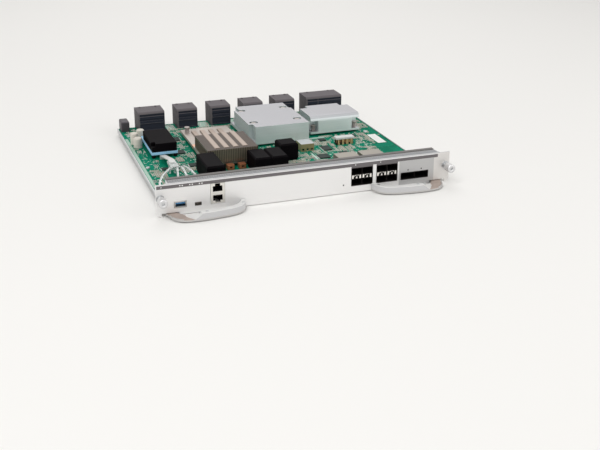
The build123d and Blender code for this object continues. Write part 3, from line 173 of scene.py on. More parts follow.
def blend(tree, share, first, second):
    """A colour mixed from first to second by share; each is a socket, a colour or a number."""
    node = put(tree, "Mix")
    node.data_type = "RGBA"
    for index, operand in ((0, share), (6, first), (7, second)):
        if isinstance(operand, tuple):
            node.inputs[index].default_value = (*operand, 1.0)
        elif isinstance(operand, float):
            node.inputs[index].default_value = operand
        else:
            tree.links.new(operand, node.inputs[index])
    return node.outputs[2]


def object_place(tree, kind="Object"):
    """The X, Y and Z sockets of the object's own coordinates, or of its surface direction."""
    parts = put(tree, "SeparateXYZ")
    tree.links.new(put(tree, "TexCoord").outputs[kind], parts.inputs[0])
    return parts.outputs


def times(tree, first, second):
    """The first value times the second."""
    return maths(tree, "MULTIPLY", first, second)


def above(tree, value, limit):
    """1 where a value is over the limit, 0 elsewhere."""
    return maths(tree, "GREATER_THAN", value, limit)


def below(tree, value, limit):
    """1 where a value is under the limit, 0 elsewhere."""
    return maths(tree, "LESS_THAN", value, limit)


def within(tree, coordinate, low, high):
    """1 where a coordinate lies between low and high."""
    return times(tree, above(tree, coordinate, low), below(tree, coordinate, high))


def new_group(name, inputs, outputs):
    """An empty shader group whose sockets are named with their kinds and defaults."""
    made = bpy.data.node_groups.new(name, "ShaderNodeTree")
    for label, kind, value in inputs:
        socket = made.interface.new_socket(label, in_out="INPUT", socket_type=kind)
        socket.default_value = value
    for label, kind in outputs:
        made.interface.new_socket(label, in_out="OUTPUT", socket_type=kind)
    return made, made.nodes.new("NodeGroupInput"), made.nodes.new("NodeGroupOutput")


# Brushed and rolled metal: noise stretched along one direction, in tone, gloss and height
grain, grain_in, grain_out = new_group(
    "rolled_grain",
    [
        ("Colour", "NodeSocketColor", (0.8, 0.8, 0.8, 1.0)),
        ("Roughness", "NodeSocketFloat", 0.35),
        ("Stretch", "NodeSocketVector", (60.0, 60.0, 2400.0)),
        ("Contrast", "NodeSocketFloat", 0.12),
        ("Depth", "NodeSocketFloat", 0.05),
        ("Edge wear and highlight", "NodeSocketFloat", 0.3),
    ],
    [
        ("Colour", "NodeSocketColor"), ("Roughness", "NodeSocketFloat"),
        ("Normal", "NodeSocketVector"),
    ],
)
place = put(grain, "TexCoord").outputs["Object"]
stretch = put(grain, "VectorMath")
stretch.operation = "MULTIPLY"
grain.links.new(place, stretch.inputs[0])
grain.links.new(grain_in.outputs["Stretch"], stretch.inputs[1])
fine = put(grain, "TexNoise", Scale=1.0, Detail=3.0)
grain.links.new(stretch.outputs[0], fine.inputs["Vector"])
cloud = put(grain, "TexNoise", Scale=22.0, Detail=4.0)
grain.links.new(place, cloud.inputs["Vector"])
mixed = maths(grain, "ADD", times(grain, fine.outputs["Fac"], 0.65),
              times(grain, cloud.outputs["Fac"], 0.35))
swing = maths(grain, "SUBTRACT", mixed, 0.5)
tone = maths(grain, "ADD", 1.0, times(grain, swing, grain_in.outputs["Contrast"]))
# Worn edges with a painted highlight: where the softened direction leaves the surface's own, the
# tone rises, as wear and as painted light along the edges
softened = put(grain, "Bevel", Radius=0.0004)
softened.samples = 4
turned_by = put(grain, "VectorMath")
turned_by.operation = "DOT_PRODUCT"
grain.links.new(softened.outputs[0], turned_by.inputs[0])
grain.links.new(put(grain, "NewGeometry").outputs["Normal"], turned_by.inputs[1])
departure = maths(grain, "SUBTRACT", 1.0, turned_by.outputs["Value"])
edge = maths(grain, "MINIMUM", times(grain, departure, 6.0), 1.0)
edge = times(grain, edge, times(grain, cloud.outputs["Fac"], 2.0))
tone = maths(grain, "ADD", tone, times(grain, edge, grain_in.outputs["Edge wear and highlight"]))
tinted = put(grain, "VectorMath")
tinted.operation = "SCALE"
grain.links.new(grain_in.outputs["Colour"], tinted.inputs[0])
grain.links.new(tone, tinted.inputs["Scale"])
grain.links.new(tinted.outputs[0], grain_out.inputs["Colour"])
gloss = maths(grain, "ADD", grain_in.outputs["Roughness"], times(grain, swing, 0.25))
grain.links.new(gloss, grain_out.inputs["Roughness"])
relief = put(grain, "Bump", Distance=0.0004)
grain.links.new(grain_in.outputs["Depth"], relief.inputs["Strength"])
grain.links.new(fine.outputs["Fac"], relief.inputs["Height"])
grain.links.new(softened.outputs[0], relief.inputs["Normal"])
grain.links.new(relief.outputs[0], grain_out.inputs["Normal"])


def grained(made, colour, roughness, stretch_by, contrast, depth, edge_wear_and_highlight):
    """Place the grain group in a material and feed its colour, gloss and normal from it."""
    surface, tree, shader = made
    node = put(tree, "Group")
    node.name = "grain"
    node.node_tree = grain
    for socket, value in (("Colour", (*colour, 1.0)), ("Roughness", roughness),
                          ("Stretch", stretch_by), ("Contrast", contrast), ("Depth", depth),
                          ("Edge wear and highlight", edge_wear_and_highlight)):
        node.inputs[socket].default_value = value
    for output, socket in (("Colour", "Base Color"), ("Roughness", "Roughness"),
                           ("Normal", "Normal")):
        tree.links.new(node.outputs[output], shader.inputs[socket])
    return surface


def metal(name, colour, roughness, stretch_by, metallic=1.0, contrast=0.12, depth=0.05, edge_wear_and_highlight=0.25):
    """A plated or bare metal with rolled grain."""
    made = new_material(name, colour, metallic, roughness)
    return grained(made, colour, roughness, stretch_by, contrast, depth, edge_wear_and_highlight)


def moulded(name, colour, roughness, contrast=0.15, depth=0.08, scale=1500.0, **sockets):
    """A plastic or painted surface with an even fine grain."""
    made = new_material(name, colour, 0.0, roughness, **sockets)
    return grained(made, colour, roughness, (scale, scale, scale), contrast, depth, 0.25)


def tint(surface, socket):
    """Feed the grain's colour from a socket of the same material."""
    surface.node_tree.links.new(socket, surface.node_tree.nodes["grain"].inputs["Colour"])


def dress(surface, *names):
    """Give CAD nodes a material in all their slots."""
    for name in names:
        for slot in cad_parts[name].material_slots:
            slot.material = surface


plate_finish = metal("plated_steel", (0.80, 0.795, 0.785), 0.42, (18.0, 900.0, 900.0), 0.35,
                     0.06, 0.03, 0.1)
plate_tree = plate_finish.node_tree
plate_x, _, plate_z = object_place(plate_tree)
# Bare silver panel round the wide ports, with a bright left edge, and a darker, warmer tone to the
# right of it
panel_left, panel_right, panel_top = 0.1195, 0.1695, 0.0345
panel = times(plate_tree, within(plate_tree, plate_x, panel_left, panel_right),
              within(plate_tree, plate_z, 0.0, panel_top))
panel_edge = times(plate_tree, panel, below(plate_tree, plate_x, panel_left + 0.0012))
beyond = above(plate_tree, plate_x, panel_right)
plate_tone = blend(plate_tree, beyond, (0.87, 0.865, 0.86), (0.75, 0.73, 0.71))
plate_tone = blend(plate_tree, panel, plate_tone, (0.54, 0.54, 0.54))
plate_tone = blend(plate_tree, panel_edge, plate_tone, (0.87, 0.87, 0.86))
# The flanges that face up are painted darker than the front, as painted shade
upward_shade = above(plate_tree, object_place(plate_tree, "Normal")[2], 0.6)
tint(plate_finish, blend(plate_tree, upward_shade, plate_tone, (0.50, 0.50, 0.51)))
dress(plate_finish, "faceplate")
bracket_finish = metal("bracket_steel", (0.80, 0.80, 0.80), 0.32, (900.0, 40.0, 900.0),
                       1.0, 0.10, 0.03)
dress(bracket_finish, "side_brackets")

# Indicator strip: a dark printed overlay, stuck along the top of the faceplate. Clear
# lenses show through its windows, two by two at the left, and it runs down between the ports.
strip_finish = moulded("strip_print", (0.145, 0.133, 0.138), 0.5, 0.10, 0.04, 2600.0)
dress(strip_finish, "indicator_strip")


def mm(points):
    """Points in millimetres, with y counted from the faceplate, as metres in the row frame."""
    return np.asarray(points, float) * 0.001 + np.array([0.0, front, 0.0])


def skin(rings, closed):
    """Faces of N bodies, each a stack of R rings of K points: quads between neighbouring rings,
    and a flat cap at both ends unless the stack closes on itself."""
    n, r, k = rings.shape[:3]
    index = np.arange(n * r * k).reshape(n, r, k)
    if closed:
        lower, upper = index, np.roll(index, -1, axis=1)
    else:
        lower, upper = index[:, :-1], index[:, 1:]
    quads = np.stack(
        [lower, np.roll(lower, -1, axis=2), np.roll(upper, -1, axis=2), upper], axis=-1
    ).reshape(-1, 4)
    faces = quads.tolist()
    if not closed:
        faces += index[:, 0, ::-1].tolist() + index[:, -1].tolist()
    return faces


def piece(name, rings, surface, body="module", smooth=False, closed=False):
    """A new piece from stacked rings in millimetres, riding on a body: its points are the
    rings' and its faces are their skin."""
    mesh = bpy.data.meshes.new(name)
    mesh.from_pydata(mm(rings).reshape(-1, 3).tolist(), [], skin(rings, closed))
    mesh.materials.append(surface)
    mesh.polygons.foreach_set("use_smooth", np.full(len(mesh.polygons), smooth))
    mesh.update()
    made = in_scene(name, mesh)
    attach(made, body)
    return made


def turned_rings(radii, depths, centre, sides):
    """A round piece about a line parallel to Y: at each depth a ring of the given radius,
    x = radius * cos, z = radius * sin, running so that its faces look outwards towards -Y."""
    angle = np.linspace(0.0, 2.0 * np.pi, sides, endpoint=False)
    radii = np.asarray(radii, float)
    radii = radii[:, None] if radii.ndim == 1 else radii
    depths = np.asarray(depths, float)[:, None]
    x = centre[0] + radii * np.cos(angle)
    z = centre[2] + radii * np.sin(angle)
    y = centre[1] + depths + 0.0 * angle
    return np.stack([x, y, z], axis=-1)[None]


def blocks(places, sizes, draw_in=0.1):
    """N blocks at once, from their middle-bottom places and their sizes: four corner signs
    times the half sizes, at the foot, under the top edge and at the top drawn in by draw_in."""
    places, sizes = np.atleast_2d(places).astype(float), np.atleast_2d(sizes).astype(float)
    sizes = np.broadcast_to(sizes, places.shape)
    signs = np.array([[-1.0, -1.0], [1.0, -1.0], [1.0, 1.0], [-1.0, 1.0]])
    inset = np.minimum(draw_in, 0.3 * sizes.min(axis=1))
    half = sizes[:, None, None, :2] / 2.0
    shrink = np.stack([0 * inset, 0 * inset, inset], axis=1)[:, :, None, None]
    flat = places[:, None, None, :2] + signs[None, None] * (half - shrink)
    lift = np.stack([0 * inset, sizes[:, 2] - inset, sizes[:, 2]], axis=1)[:, :, None, None]
    height = np.broadcast_to(places[:, None, None, 2:] + lift, flat.shape[:3] + (1,))
    return np.concatenate([flat, height], axis=-1)


def plaques(places, sizes, draw_in=0.1):
    """Blocks that stand forward from upright faces: width, height and depth towards the front,
    from the middle of their back face; the blocks above turned from (a, b, h) to (a, -h, b)."""
    places = np.atleast_2d(places).astype(float)
    lying = blocks(np.stack([places[:, 0], places[:, 2], -places[:, 1]], axis=1), sizes, draw_in)
    return np.stack([lying[..., 0], -lying[..., 2], lying[..., 1]], axis=-1)


def in_row(xs, y, z):
    """Places side by side: each x with the same y and z."""
    xs = np.asarray(xs, float)
    return np.stack([xs, np.full_like(xs, y), np.full_like(xs, z)], axis=1)


def domed(radius, foot, rim, height, centre):
    """A short stem with a domed end: a ring of the radius at the foot, then rings whose radius
    falls as the cosine of a quarter turn while the depth goes forward from the rim as its sine."""
    quarter = np.linspace(0.0, np.pi / 2.0, 5)[:-1]
    return turned_rings(np.append(radius, radius * np.cos(quarter)),
                        np.append(foot, rim - height * np.sin(quarter)), centre, 12)


lens_finish = moulded("clear_lens", (0.93, 0.94, 0.92), 0.2, 0.05, 0.02, 900.0)
lamp_z = 36.7
lamp_xs = np.array([-162.2, -159.2, -150.3, -147.3, -138.6, -135.6])
window_rings = plaques(in_row(lamp_xs, 0.1, lamp_z), (2.6, 2.3, 0.32), 0.16)
piece("lamp_windows", window_rings, lens_finish)
lens_rings = np.concatenate([
    domed(0.78, 1.2, 0.0, 0.28, (x, 0.0, lamp_z)) for x in (-184.5, 60.6, 94.5)
])
piece("lamp_lenses", lens_rings, lens_finish, smooth=True)
# The overlay goes on down to the tops of the stacked cages
cage_xs = np.array([69.8, 103.9])
panel_rings = plaques(in_row(cage_xs, 0.05, 33.75), (29.4, 2.0, 0.2), 0.05)
piece("strip_panels", panel_rings, strip_finish)

# Status lamps: two small dark lenses, pressed into the faceplate over the wide ports. They
# are unlit, so they look like the smoked plastic that they are.
dark_lens = moulded("dark_lens", (0.05, 0.05, 0.05), 0.25, 0.1, 0.02, 900.0)
dot_rings = np.concatenate([
    domed(0.95, 0.1, 0.0, 0.25, (x, 0.0, 21.7)) for x in (133.2, 151.8)
])
piece("status_lamps", dot_rings, dark_lens, smooth=True)

# Gasket and seal, clipped and stuck on the top flange: a springy metal strip with cross
# ridges in front, and a strip of dark conductive foam behind it.
gasket_finish = metal("spring_gasket", (0.25, 0.255, 0.265), 0.42, (900.0, 60.0, 60.0),
                      0.7, 0.15, 0.05)
foam_finish = moulded("conductive_foam", (0.17, 0.16, 0.155), 0.75, 0.5, 0.5, 900.0)
dress(gasket_finish, "top_gasket")
dress(foam_finish, "rear_seal")
# Its height is a rounded bow across its width, times a clipped cosine along its length
ridge_pitch, gasket_front, gasket_w, flange_top = 3.0, 3.6, 8.0, 40.0
ridge_x = np.linspace(-175.5, 175.5, 1405)
ridge_y = np.array([0.0, 0.15, 0.5, 1.0, 1.6, 4.0, 6.4, 7.0, 7.5, 7.85, gasket_w])
bow = np.sin(np.pi * np.clip(ridge_y / gasket_w, 0.0, 1.0)) ** 0.35
ridges = 0.62 + 0.38 * np.clip(1.6 * np.cos(2.0 * np.pi * ridge_x / ridge_pitch), -1.0, 1.0)
high = flange_top + 0.78 * ridges[:, None] * bow[None, :]
gasket_rings = np.stack([
    ridge_x[:, None] + 0 * high, gasket_front + ridge_y[None, :] + 0 * high, high], axis=-1)[None]
gasket = piece("ridged_gasket", gasket_rings[:, ::-1], gasket_finish, smooth=True)
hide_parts("top_gasket")

# Carrier tray: plain galvanised steel sheet under the board, with low folded side lips and
# pressed-in nuts. The faceplate and the board are screwed to it.
tray_finish = metal("galvanised_sheet", (0.56, 0.57, 0.58), 0.42, (120.0, 120.0, 120.0),
                    1.0, 0.35, 0.03)
dress(tray_finish, "carrier_tray")

# Circuit board: glass laminate with copper tracks under green solder mask, screwed to the
# tray. Groups of parallel tracks run one way, across or slanted in square cells, dotted
# with vias, over two tones of poured copper.
board, board_tree, board_shader = new_material("green_solder_mask", (0.002, 0.18, 0.10), 0.0, 0.5)
board_shader.inputs["Specular IOR Level"].default_value = 0.015
board_x, board_y, _ = object_place(board_tree)
cells = put(board_tree, "TexVoronoi", Scale=75.0)
cells.distance = "CHEBYCHEV"
dots = put(board_tree, "TexVoronoi", Scale=330.0)
pours = put(board_tree, "TexNoise", Scale=14.0, Detail=2.0)
spot = put(board_tree, "TexCoord")
for pattern in (cells, dots, pours):
    board_tree.links.new(spot.outputs["Object"], pattern.inputs["Vector"])
kinds = put(board_tree, "SeparateColor")
board_tree.links.new(cells.outputs["Color"], kinds.inputs[0])


def wrapped(tree, coordinate, per_metre):
    """A coordinate counted in steps, so many to the metre, without its whole part: 0 to 1."""
    return maths(tree, "FRACT", times(tree, coordinate, per_metre))


def tracks(coordinate, pitch):
    """1 on tracks, 0 between: a coordinate wrapped at the pitch, cut at the tracks' share."""
    return below(board_tree, wrapped(board_tree, coordinate, 1.0 / pitch), 0.42)


def either_of(first, second, share):
    """Two masks mixed: the first times what the share leaves, plus the second times the share."""
    return maths(board_tree, "ADD",
                 times(board_tree, first, maths(board_tree, "SUBTRACT", 1.0, share)),
                 times(board_tree, second, share))


lengthwise = tracks(board_x, 0.0011)
crosswise = tracks(board_y, 0.0011)
leaning = tracks(maths(board_tree, "ADD", board_x, board_y), 0.0015)
straight = either_of(crosswise, lengthwise, above(board_tree, kinds.outputs[0], 0.45))
drawn = either_of(straight, leaning, above(board_tree, kinds.outputs[1], 0.78))
routed = times(board_tree, drawn, above(board_tree, kinds.outputs[2], 0.35))
vias = below(board_tree, dots.outputs["Distance"], 0.17)
pour = put(board_tree, "ValToRGB")
pour.color_ramp.interpolation = "CONSTANT"
pour.color_ramp.elements[0].color = (0.0008, 0.165, 0.095, 1.0)
pour.color_ramp.elements[1].position = 0.54
pour.color_ramp.elements[1].color = (0.001, 0.205, 0.122, 1.0)
board_tree.links.new(pours.outputs["Fac"], pour.inputs["Fac"])
mask_tone = blend(board_tree, routed, pour.outputs["Color"], (0.002, 0.25, 0.150))
mask_tone = blend(board_tree, times(board_tree, vias, 0.6), mask_tone, (0.16, 0.38, 0.26))
board_tree.links.new(mask_tone, board_shader.inputs["Base Color"])
track_relief = put(board_tree, "Bump", Strength=0.12, Distance=0.0002)
board_tree.links.new(routed, track_relief.inputs["Height"])
board_tree.links.new(track_relief.outputs[0], board_shader.inputs["Normal"])
dress(board, "circuit_board")

# Parts soldered to the board: ceramic chip resistors and capacitors in rows, with tinned
# ends. They keep clear of the rectangles that are taken (left, right, front and rear of
# each) and of the flat chips (middle, width and depth of each).
board_top = 9.2
taken = np.array([
    (-99.5, -29.0, 116.0, 280.0), (-18.0, 69.5, 188.0, 300.0), (78.0, 156.5, 208.0, 270.5),
    (-115.5, -89.0, 58.5, 117.5), (-47.0, 0.0, 75.5, 117.5), (1.0, 28.5, 117.0, 145.0),
    (-77.0, -47.0, 105.0, 118.0), (41.0, 62.0, 146.0, 171.0), (97.0, 128.0, 157.0, 170.5),
    (54.5, 119.5, 0.0, 63.5), (122.0, 163.0, 0.0, 71.5), (-127.0, -107.0, 0.0, 28.5),
    (-171.0, -153.0, 0.0, 18.0), (-147.0, -135.0, 0.0, 11.0), (41.0, 49.0, 0.0, 12.0),
    (-161.0, -122.0, 183.0, 267.0), (-176.0, -152.5, 235.0, 279.0), (-152.5, -138.5, 96.0, 186.0),
    (-156.0, -112.0, 311.0, 343.0), (-97.0, -63.0, 311.0, 343.0), (-45.5, -11.5, 311.0, 343.0),
    (6.0, 40.0, 311.0, 343.0), (57.5, 91.5, 311.0, 343.0), (108.0, 170.0, 311.0, 343.0),
    (-180.0, -164.0, 318.0, 343.0), (-180.0, -167.0, 0.0, 50.0), (167.0, 180.0, 0.0, 50.0),
    (158.0, 174.0, 146.0, 196.0), (-27.0, -12.0, 164.0, 180.0), (-9.0, 4.0, 318.0, 332.0),
    (-178.0, -166.0, 290.0, 302.0), (166.0, 178.0, 318.0, 331.0), (-178.0, -166.0, 144.0, 156.0),
    (-36.0, -24.0, 10.0, 22.0), (150.0, 176.0, 75.0, 146.0),
])
chips = np.array([
    (64, 118, 15, 15), (96, 122, 12, 12), (80, 150, 12, 18), (20, 172, 12, 10),
    (88, 188, 10, 10), (136, 192, 10, 10), (-86, 296, 12, 12), (49, 310, 10, 8),
    (-112, 142, 12, 12), (-118, 200, 14, 14), (-110, 260, 10, 16), (-150, 138, 12, 8),
], float)
lead_room = 2.0
chip_half = chips[:, 2:4] / 2 + lead_room
taken = np.concatenate([taken, np.stack([
    chips[:, 0] - chip_half[:, 0], chips[:, 0] + chip_half[:, 0],
    chips[:, 1] - chip_half[:, 1], chips[:, 1] + chip_half[:, 1],
], axis=1)])


def free(places, room):
    """Which places keep that much room from every taken rectangle and stay on the board."""
    x, y = places[:, None, 0], places[:, None, 1]
    inside = (
        (x > taken[:, 0] - room) & (x < taken[:, 1] + room)
        & (y > taken[:, 2] - room) & (y < taken[:, 3] + room)
    )
    off_edge = (np.abs(places[:, 0]) < 176.0) & (places[:, 1] > 12.0) & (places[:, 1] < 336.0)
    return off_edge & ~inside.any(axis=1)


def on_board(flat_places):
    """Places on the board's top from their x and y."""
    return np.column_stack([flat_places, np.full(len(flat_places), board_top)])


draw = np.random.default_rng(7)
rows_placed = 1300
kind_pitches = np.array([[1.5, 2.3], [2.2, 3.3], [3.2, 3.4]])
kind_sizes = np.array([[0.8, 1.6, 0.5], [1.25, 2.0, 1.0], [2.4, 1.6, 1.2]])
clusters = []
starts = np.stack([
    draw.uniform(-176, 176, rows_placed), draw.uniform(14, 336, rows_placed)], axis=1)
for start in starts:
    rows, columns = draw.integers(1, 4), draw.integers(2, 8)
    kind = draw.integers(0, 3)
    if draw.random() < 0.5:
        rows, columns = columns, rows
    step = np.stack(np.meshgrid(np.arange(columns), np.arange(rows)), axis=-1).reshape(-1, 2)
    clusters.append(np.concatenate([start + step * kind_pitches[kind],
                                    np.full((len(step), 1), kind)], axis=1))
small = np.concatenate(clusters)
small = small[free(small, 1.6)]
# One part at most in each square of 2.4 mm, so that none stands in another
small = small[np.unique(np.round(small[:, :2] / 2.4).astype(int), axis=0, return_index=True)[1]]
kind = small[:, 2].astype(int)
chip_sizes = kind_sizes[kind]
foot = on_board(small[:, :2])
resistor_finish = moulded("resistor_black", (0.03, 0.03, 0.032), 0.45, 0.2, 0.05)
capacitor_finish = moulded("ceramic_tan", (0.46, 0.40, 0.31), 0.5, 0.2, 0.05)
solder_finish = metal("tinned_pads", (0.72, 0.73, 0.70), 0.38, (900.0, 900.0, 900.0), 0.5, 0.2, 0.1)
for label, which, surface, slot in (
    ("chip_resistors", kind == 0, resistor_finish, "chip_black"),
    ("chip_capacitors", kind > 0, capacitor_finish, "winding_copper"),
):
    body_rings = blocks(foot[which] + (0, 0, 0.05), chip_sizes[which] * (1.0, 0.72, 1.0), 0.08)
    piece(label, body_rings, surface)
# An end wraps each end of the part's long side, a little higher than the part
long_way = np.arange(3) == np.where(kind == 2, 0, 1)[:, None]
reach = np.where(long_way, 0.41 * chip_sizes, 0.0)
end_sizes = chip_sizes * np.where(long_way, 0.24, 1.0) * (1.0, 1.0, 1.04)
cap_rings = blocks(np.concatenate([foot + reach, foot - reach]),
                   np.concatenate([end_sizes, end_sizes]), 0.06)
piece("chip_ends", cap_rings, solder_finish)

# Test pads: bare tinned copper left open in the solder mask between the parts. Some are
# lands for parts that were not fitted, so they differ in size.
pads_placed = 5200
pad_spots = np.stack([
    draw.uniform(-174, 166, pads_placed), draw.uniform(14, 334, pads_placed)], axis=1)
pad_spots = pad_spots[free(pad_spots, 0.8)]
pad_sizes = np.column_stack([
    draw.choice([0.7, 0.9, 1.6, 2.4], len(pad_spots)), draw.choice([0.7, 0.9, 1.5], len(pad_spots)),
    np.full(len(pad_spots), 0.06)])
piece("test_pads", blocks(on_board(pad_spots), pad_sizes, 0.02), solder_finish)

# Flat chips: black epoxy bodies, soldered down by a row of thin tinned leads at the left
# and at the right of each.
chip_finish = moulded("chip_epoxy", (0.030, 0.042, 0.038), 0.55, 0.25, 0.12, 2500.0,
                      specular_ior_level=0.12)
dress(chip_finish, "board_chips", "chip_packages")
lead_pitch = 0.8
lead_places = []
for x, y, w, d in chips:
    count = int((d - 1.6) / lead_pitch)
    lead_y = y + (np.arange(count) - (count - 1) / 2) * lead_pitch
    for sign in (-1, 1):
        lead_x = np.full(count, x + sign * (w / 2 + 0.55))
        lead_places.append(on_board(np.column_stack([lead_x, lead_y])))
lead_rings = blocks(np.concatenate(lead_places), (1.3, 0.4, 0.45), 0.15)
piece("chip_leads", lead_rings, solder_finish)

# Print and lands on the board: thin white printed outlines round the chips, and wide bare
# tinned lands near the rear connectors and along the left edge.
print_finish = moulded("white_print", (0.72, 0.74, 0.70), 0.6, 0.1, 0.0)
line_w = 0.22


def laid_flat(rectangles, thickness, draw_in):
    """Thin plates on the board, from the middle, width and depth of each."""
    sizes = np.column_stack([rectangles[:, 2:], np.full(len(rectangles), thickness)])
    return blocks(on_board(rectangles[:, :2]), sizes, draw_in)


print_lines = np.concatenate([
    [(x, y + s * (d / 2 + 1.5), w + 3.2, line_w) for s in (-1, 1)]
    + [(x + s * (w / 2 + 1.6), y, line_w, d + 3.2) for s in (-1, 1)]
    for x, y, w, d in chips
])
piece("print_outlines", laid_flat(print_lines, 0.04, 0.01), print_finish)
lands = np.array([
    (-104.5, 321.5, 13, 25), (-54.5, 321.5, 16, 25), (-4.5, 321.5, 20, 25), (48.5, 323, 14, 18),
    (-177.2, 180, 4.0, 210),
], float)
land_finish = metal("tinned_lands", (0.34, 0.50, 0.42), 0.5, (500.0, 500.0, 500.0), 0.4, 0.5, 0.08)
piece("tinned_lands", laid_flat(lands, 0.05, 0.02), land_finish)

# Headers and label: two low pale plastic pin headers soldered to the board, and a blank
# white paper label stuck at its right edge.
header_finish = moulded("pale_header", (0.50, 0.70, 0.62), 0.5, 0.2, 0.05)
header_rings = blocks([(83.0, 197.5, board_top), (51.8, 120.0, board_top)],
                      [(24.0, 3.0, 1.6), (2.4, 22.0, 1.4)], 0.15)
piece("pale_headers", header_rings, header_finish)
label_finish = moulded("blank_label", (0.82, 0.82, 0.80), 0.55, 0.06, 0.03)
label_rings = blocks((166.0, 170.5, board_top), (13.0, 41.0, 0.12), 0.04)
piece("blank_label", label_rings, label_finish)

# Screws, pins and rivets: turned steel, bright plated. They hold the board to the tray, the
# levers to the faceplate and the captive screws in their ferrules.
screw_finish = metal("bright_zinc", (0.60, 0.61, 0.62), 0.3, (300.0, 300.0, 300.0), 1.0, 0.15, 0.03)
dress(screw_finish, "board_screws", "ferrules", "lever_pins", "lever_rivets_left",
      "lever_rivets_right", "thrust_washer_left", "thrust_washer_right", "captive_screw_left",
      "captive_screw_right")

# Captive screws: turned aluminium knobs with a fine straight knurl and a dimpled face,
# pressed on steel pins, each over a coil spring of round wire that keeps it pulled out.
knob_finish = metal("turned_aluminium", (0.70, 0.70, 0.71), 0.34, (60.0, 2400.0, 60.0),
                    1.0, 0.12, 0.04)
# Radius and depth down the open turned shell, from the bore round to it again; 1 is knurled
knob_profile = np.array([
    (1.6, -15.9, 0), (4.6, -14.3, 0), (4.6, -6.8, 0), (5.2, -6.8, 0), (5.5, -7.1, 0),
    (5.5, -7.4, 1), (5.5, -16.6, 1), (5.5, -16.9, 0), (5.2, -17.6, 0), (4.6, -18.0, 0),
    (2.4, -18.0, 0), (1.9, -17.6, 0), (1.6, -16.4, 0),
])
knob_sides, knurl_depth = 96, 0.13
coil_turns, coil_radius, wire_radius = 7, 3.85, 0.38
for side_name, end in (("left", -1), ("right", 1)):
    centre = (end * 185.9, 0.0, 22.5)
    # The knurl's depth is that of a sine with 32 humps round the knob
    turn = np.linspace(0.0, 2.0 * np.pi, knob_sides, endpoint=False)
    knurl = knurl_depth * np.abs(np.sin(16.0 * turn)) - knurl_depth
    radii = knob_profile[:, :1] + knob_profile[:, 2:] * knurl[None]
    knob_rings = turned_rings(radii, knob_profile[:, 1], centre, knob_sides)
    knob = piece(f"knurled_knob_{side_name}", knob_rings, knob_finish,
                 f"captive_{side_name}", smooth=True, closed=True)
    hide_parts(f"captive_knob_{side_name}")

    # The wire's ring is carried round a helix whose first and last half turns lie flat
    wind = np.linspace(0.0, 2.0 * np.pi * coil_turns, coil_turns * 28 + 1)
    risen = np.clip((wind / (2.0 * np.pi) - 0.5) / (coil_turns - 1.0), 0.0, 1.0)
    ring = np.linspace(0.0, 2.0 * np.pi, 8, endpoint=False)
    reach_out = coil_radius + wire_radius * np.cos(ring)[None]
    coil = np.stack([
        centre[0] + reach_out * np.cos(wind)[:, None],
        (-1.6 - 11.4 * risen)[:, None] + wire_radius * np.sin(ring)[None],
        centre[2] + reach_out * np.sin(wind)[:, None],
    ], axis=-1)[None]
    spring = piece(f"coil_spring_{side_name}", coil, screw_finish, smooth=True)
    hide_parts(f"captive_spring_{side_name}")
    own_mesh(spring)

# Ejector levers: bare steel arms that turn on pins, and bow handles of pressed steel with
# silver paint, riveted on them. Two small studs stand on the right handle's skirt.
arm_finish = metal("lever_sheet", (0.44, 0.35, 0.30), 0.45, (40.0, 900.0, 900.0), 0.4, 0.14, 0.03)
arm_tree = arm_finish.node_tree
arm_way = object_place(arm_tree, "Normal")[2]
heel = times(arm_tree, below(arm_tree, object_place(arm_tree)[2], 0.0034),
             above(arm_tree, arm_way, 0.7))
tint(arm_finish, blend(arm_tree, heel, (0.56, 0.55, 0.54), (0.48, 0.395, 0.35)))
dress(arm_finish, "lever_arm_left", "lever_arm_right")
handle_finish = moulded("silver_paint", (0.56, 0.56, 0.57), 0.42, 0.06, 0.03, 3000.0)
handle_tree = handle_finish.node_tree
# The faces that look up are painted lighter: partly a paler top coat, partly painted light falling
# from above
top_coat_and_light = above(handle_tree, object_place(handle_tree, "Normal")[2], 0.4)
tint(handle_finish, blend(handle_tree, top_coat_and_light, (0.60, 0.60, 0.61), (0.72, 0.72, 0.71)))
dress(handle_finish, "lever_handle_left", "lever_handle_right")
stud_rings = np.concatenate([
    domed(0.95, 0.8, 0.25, 0.4, place) for place in ((133.5, -28.3, 4.7), (100.5, -23.2, 4.7))
])
piece("handle_studs", stud_rings, screw_finish, "lever_right", smooth=True)

# USB sockets: nickel-plated folded shells soldered at the board's front edge. The large one
# has a blue plastic tongue with four flat gold contacts.
shell_finish = metal("nickel_shell", (0.60, 0.60, 0.59), 0.34, (300.0, 300.0, 300.0),
                     1.0, 0.12, 0.03)
dress(shell_finish, "usb_shell")
dull_finish = metal("dull_shell", (0.19, 0.17, 0.15), 0.42, (300.0, 300.0, 300.0), 0.8, 0.15, 0.04)
dress(dull_finish, "mini_usb_socket")
tongue_finish = moulded("blue_plastic", (0.07, 0.27, 0.55), 0.5, 0.1, 0.05)
dress(tongue_finish, "usb_tongue")
gold_finish = metal("gold_contacts", (0.83, 0.62, 0.28), 0.25, (900.0, 900.0, 900.0),
                    1.0, 0.1, 0.02)
usb_x, tongue_top = -162.2, 13.49
contact_rings = blocks(in_row(usb_x + np.linspace(-3.5, 3.5, 4), 5.5, tongue_top),
                       (1.1, 8.0, 0.12), 0.03)
piece("usb_contacts", contact_rings, gold_finish)

# Network jacks: two black moulded bodies, one over the other in a tinned shield, with eight
# springy gold wires in each mouth.
shield_finish = metal("jack_shield_tin", (0.80, 0.78, 0.73), 0.4, (300.0, 300.0, 300.0),
                      0.5, 0.12, 0.03)
dress(shield_finish, "jack_shield")
jack_black = moulded("jack_black", (0.008, 0.007, 0.007), 0.6, 0.2, 0.08, specular_ior_level=0.05)
dress(jack_black, "jack_body", "reset_switch", "host_connectors", "management_supports")
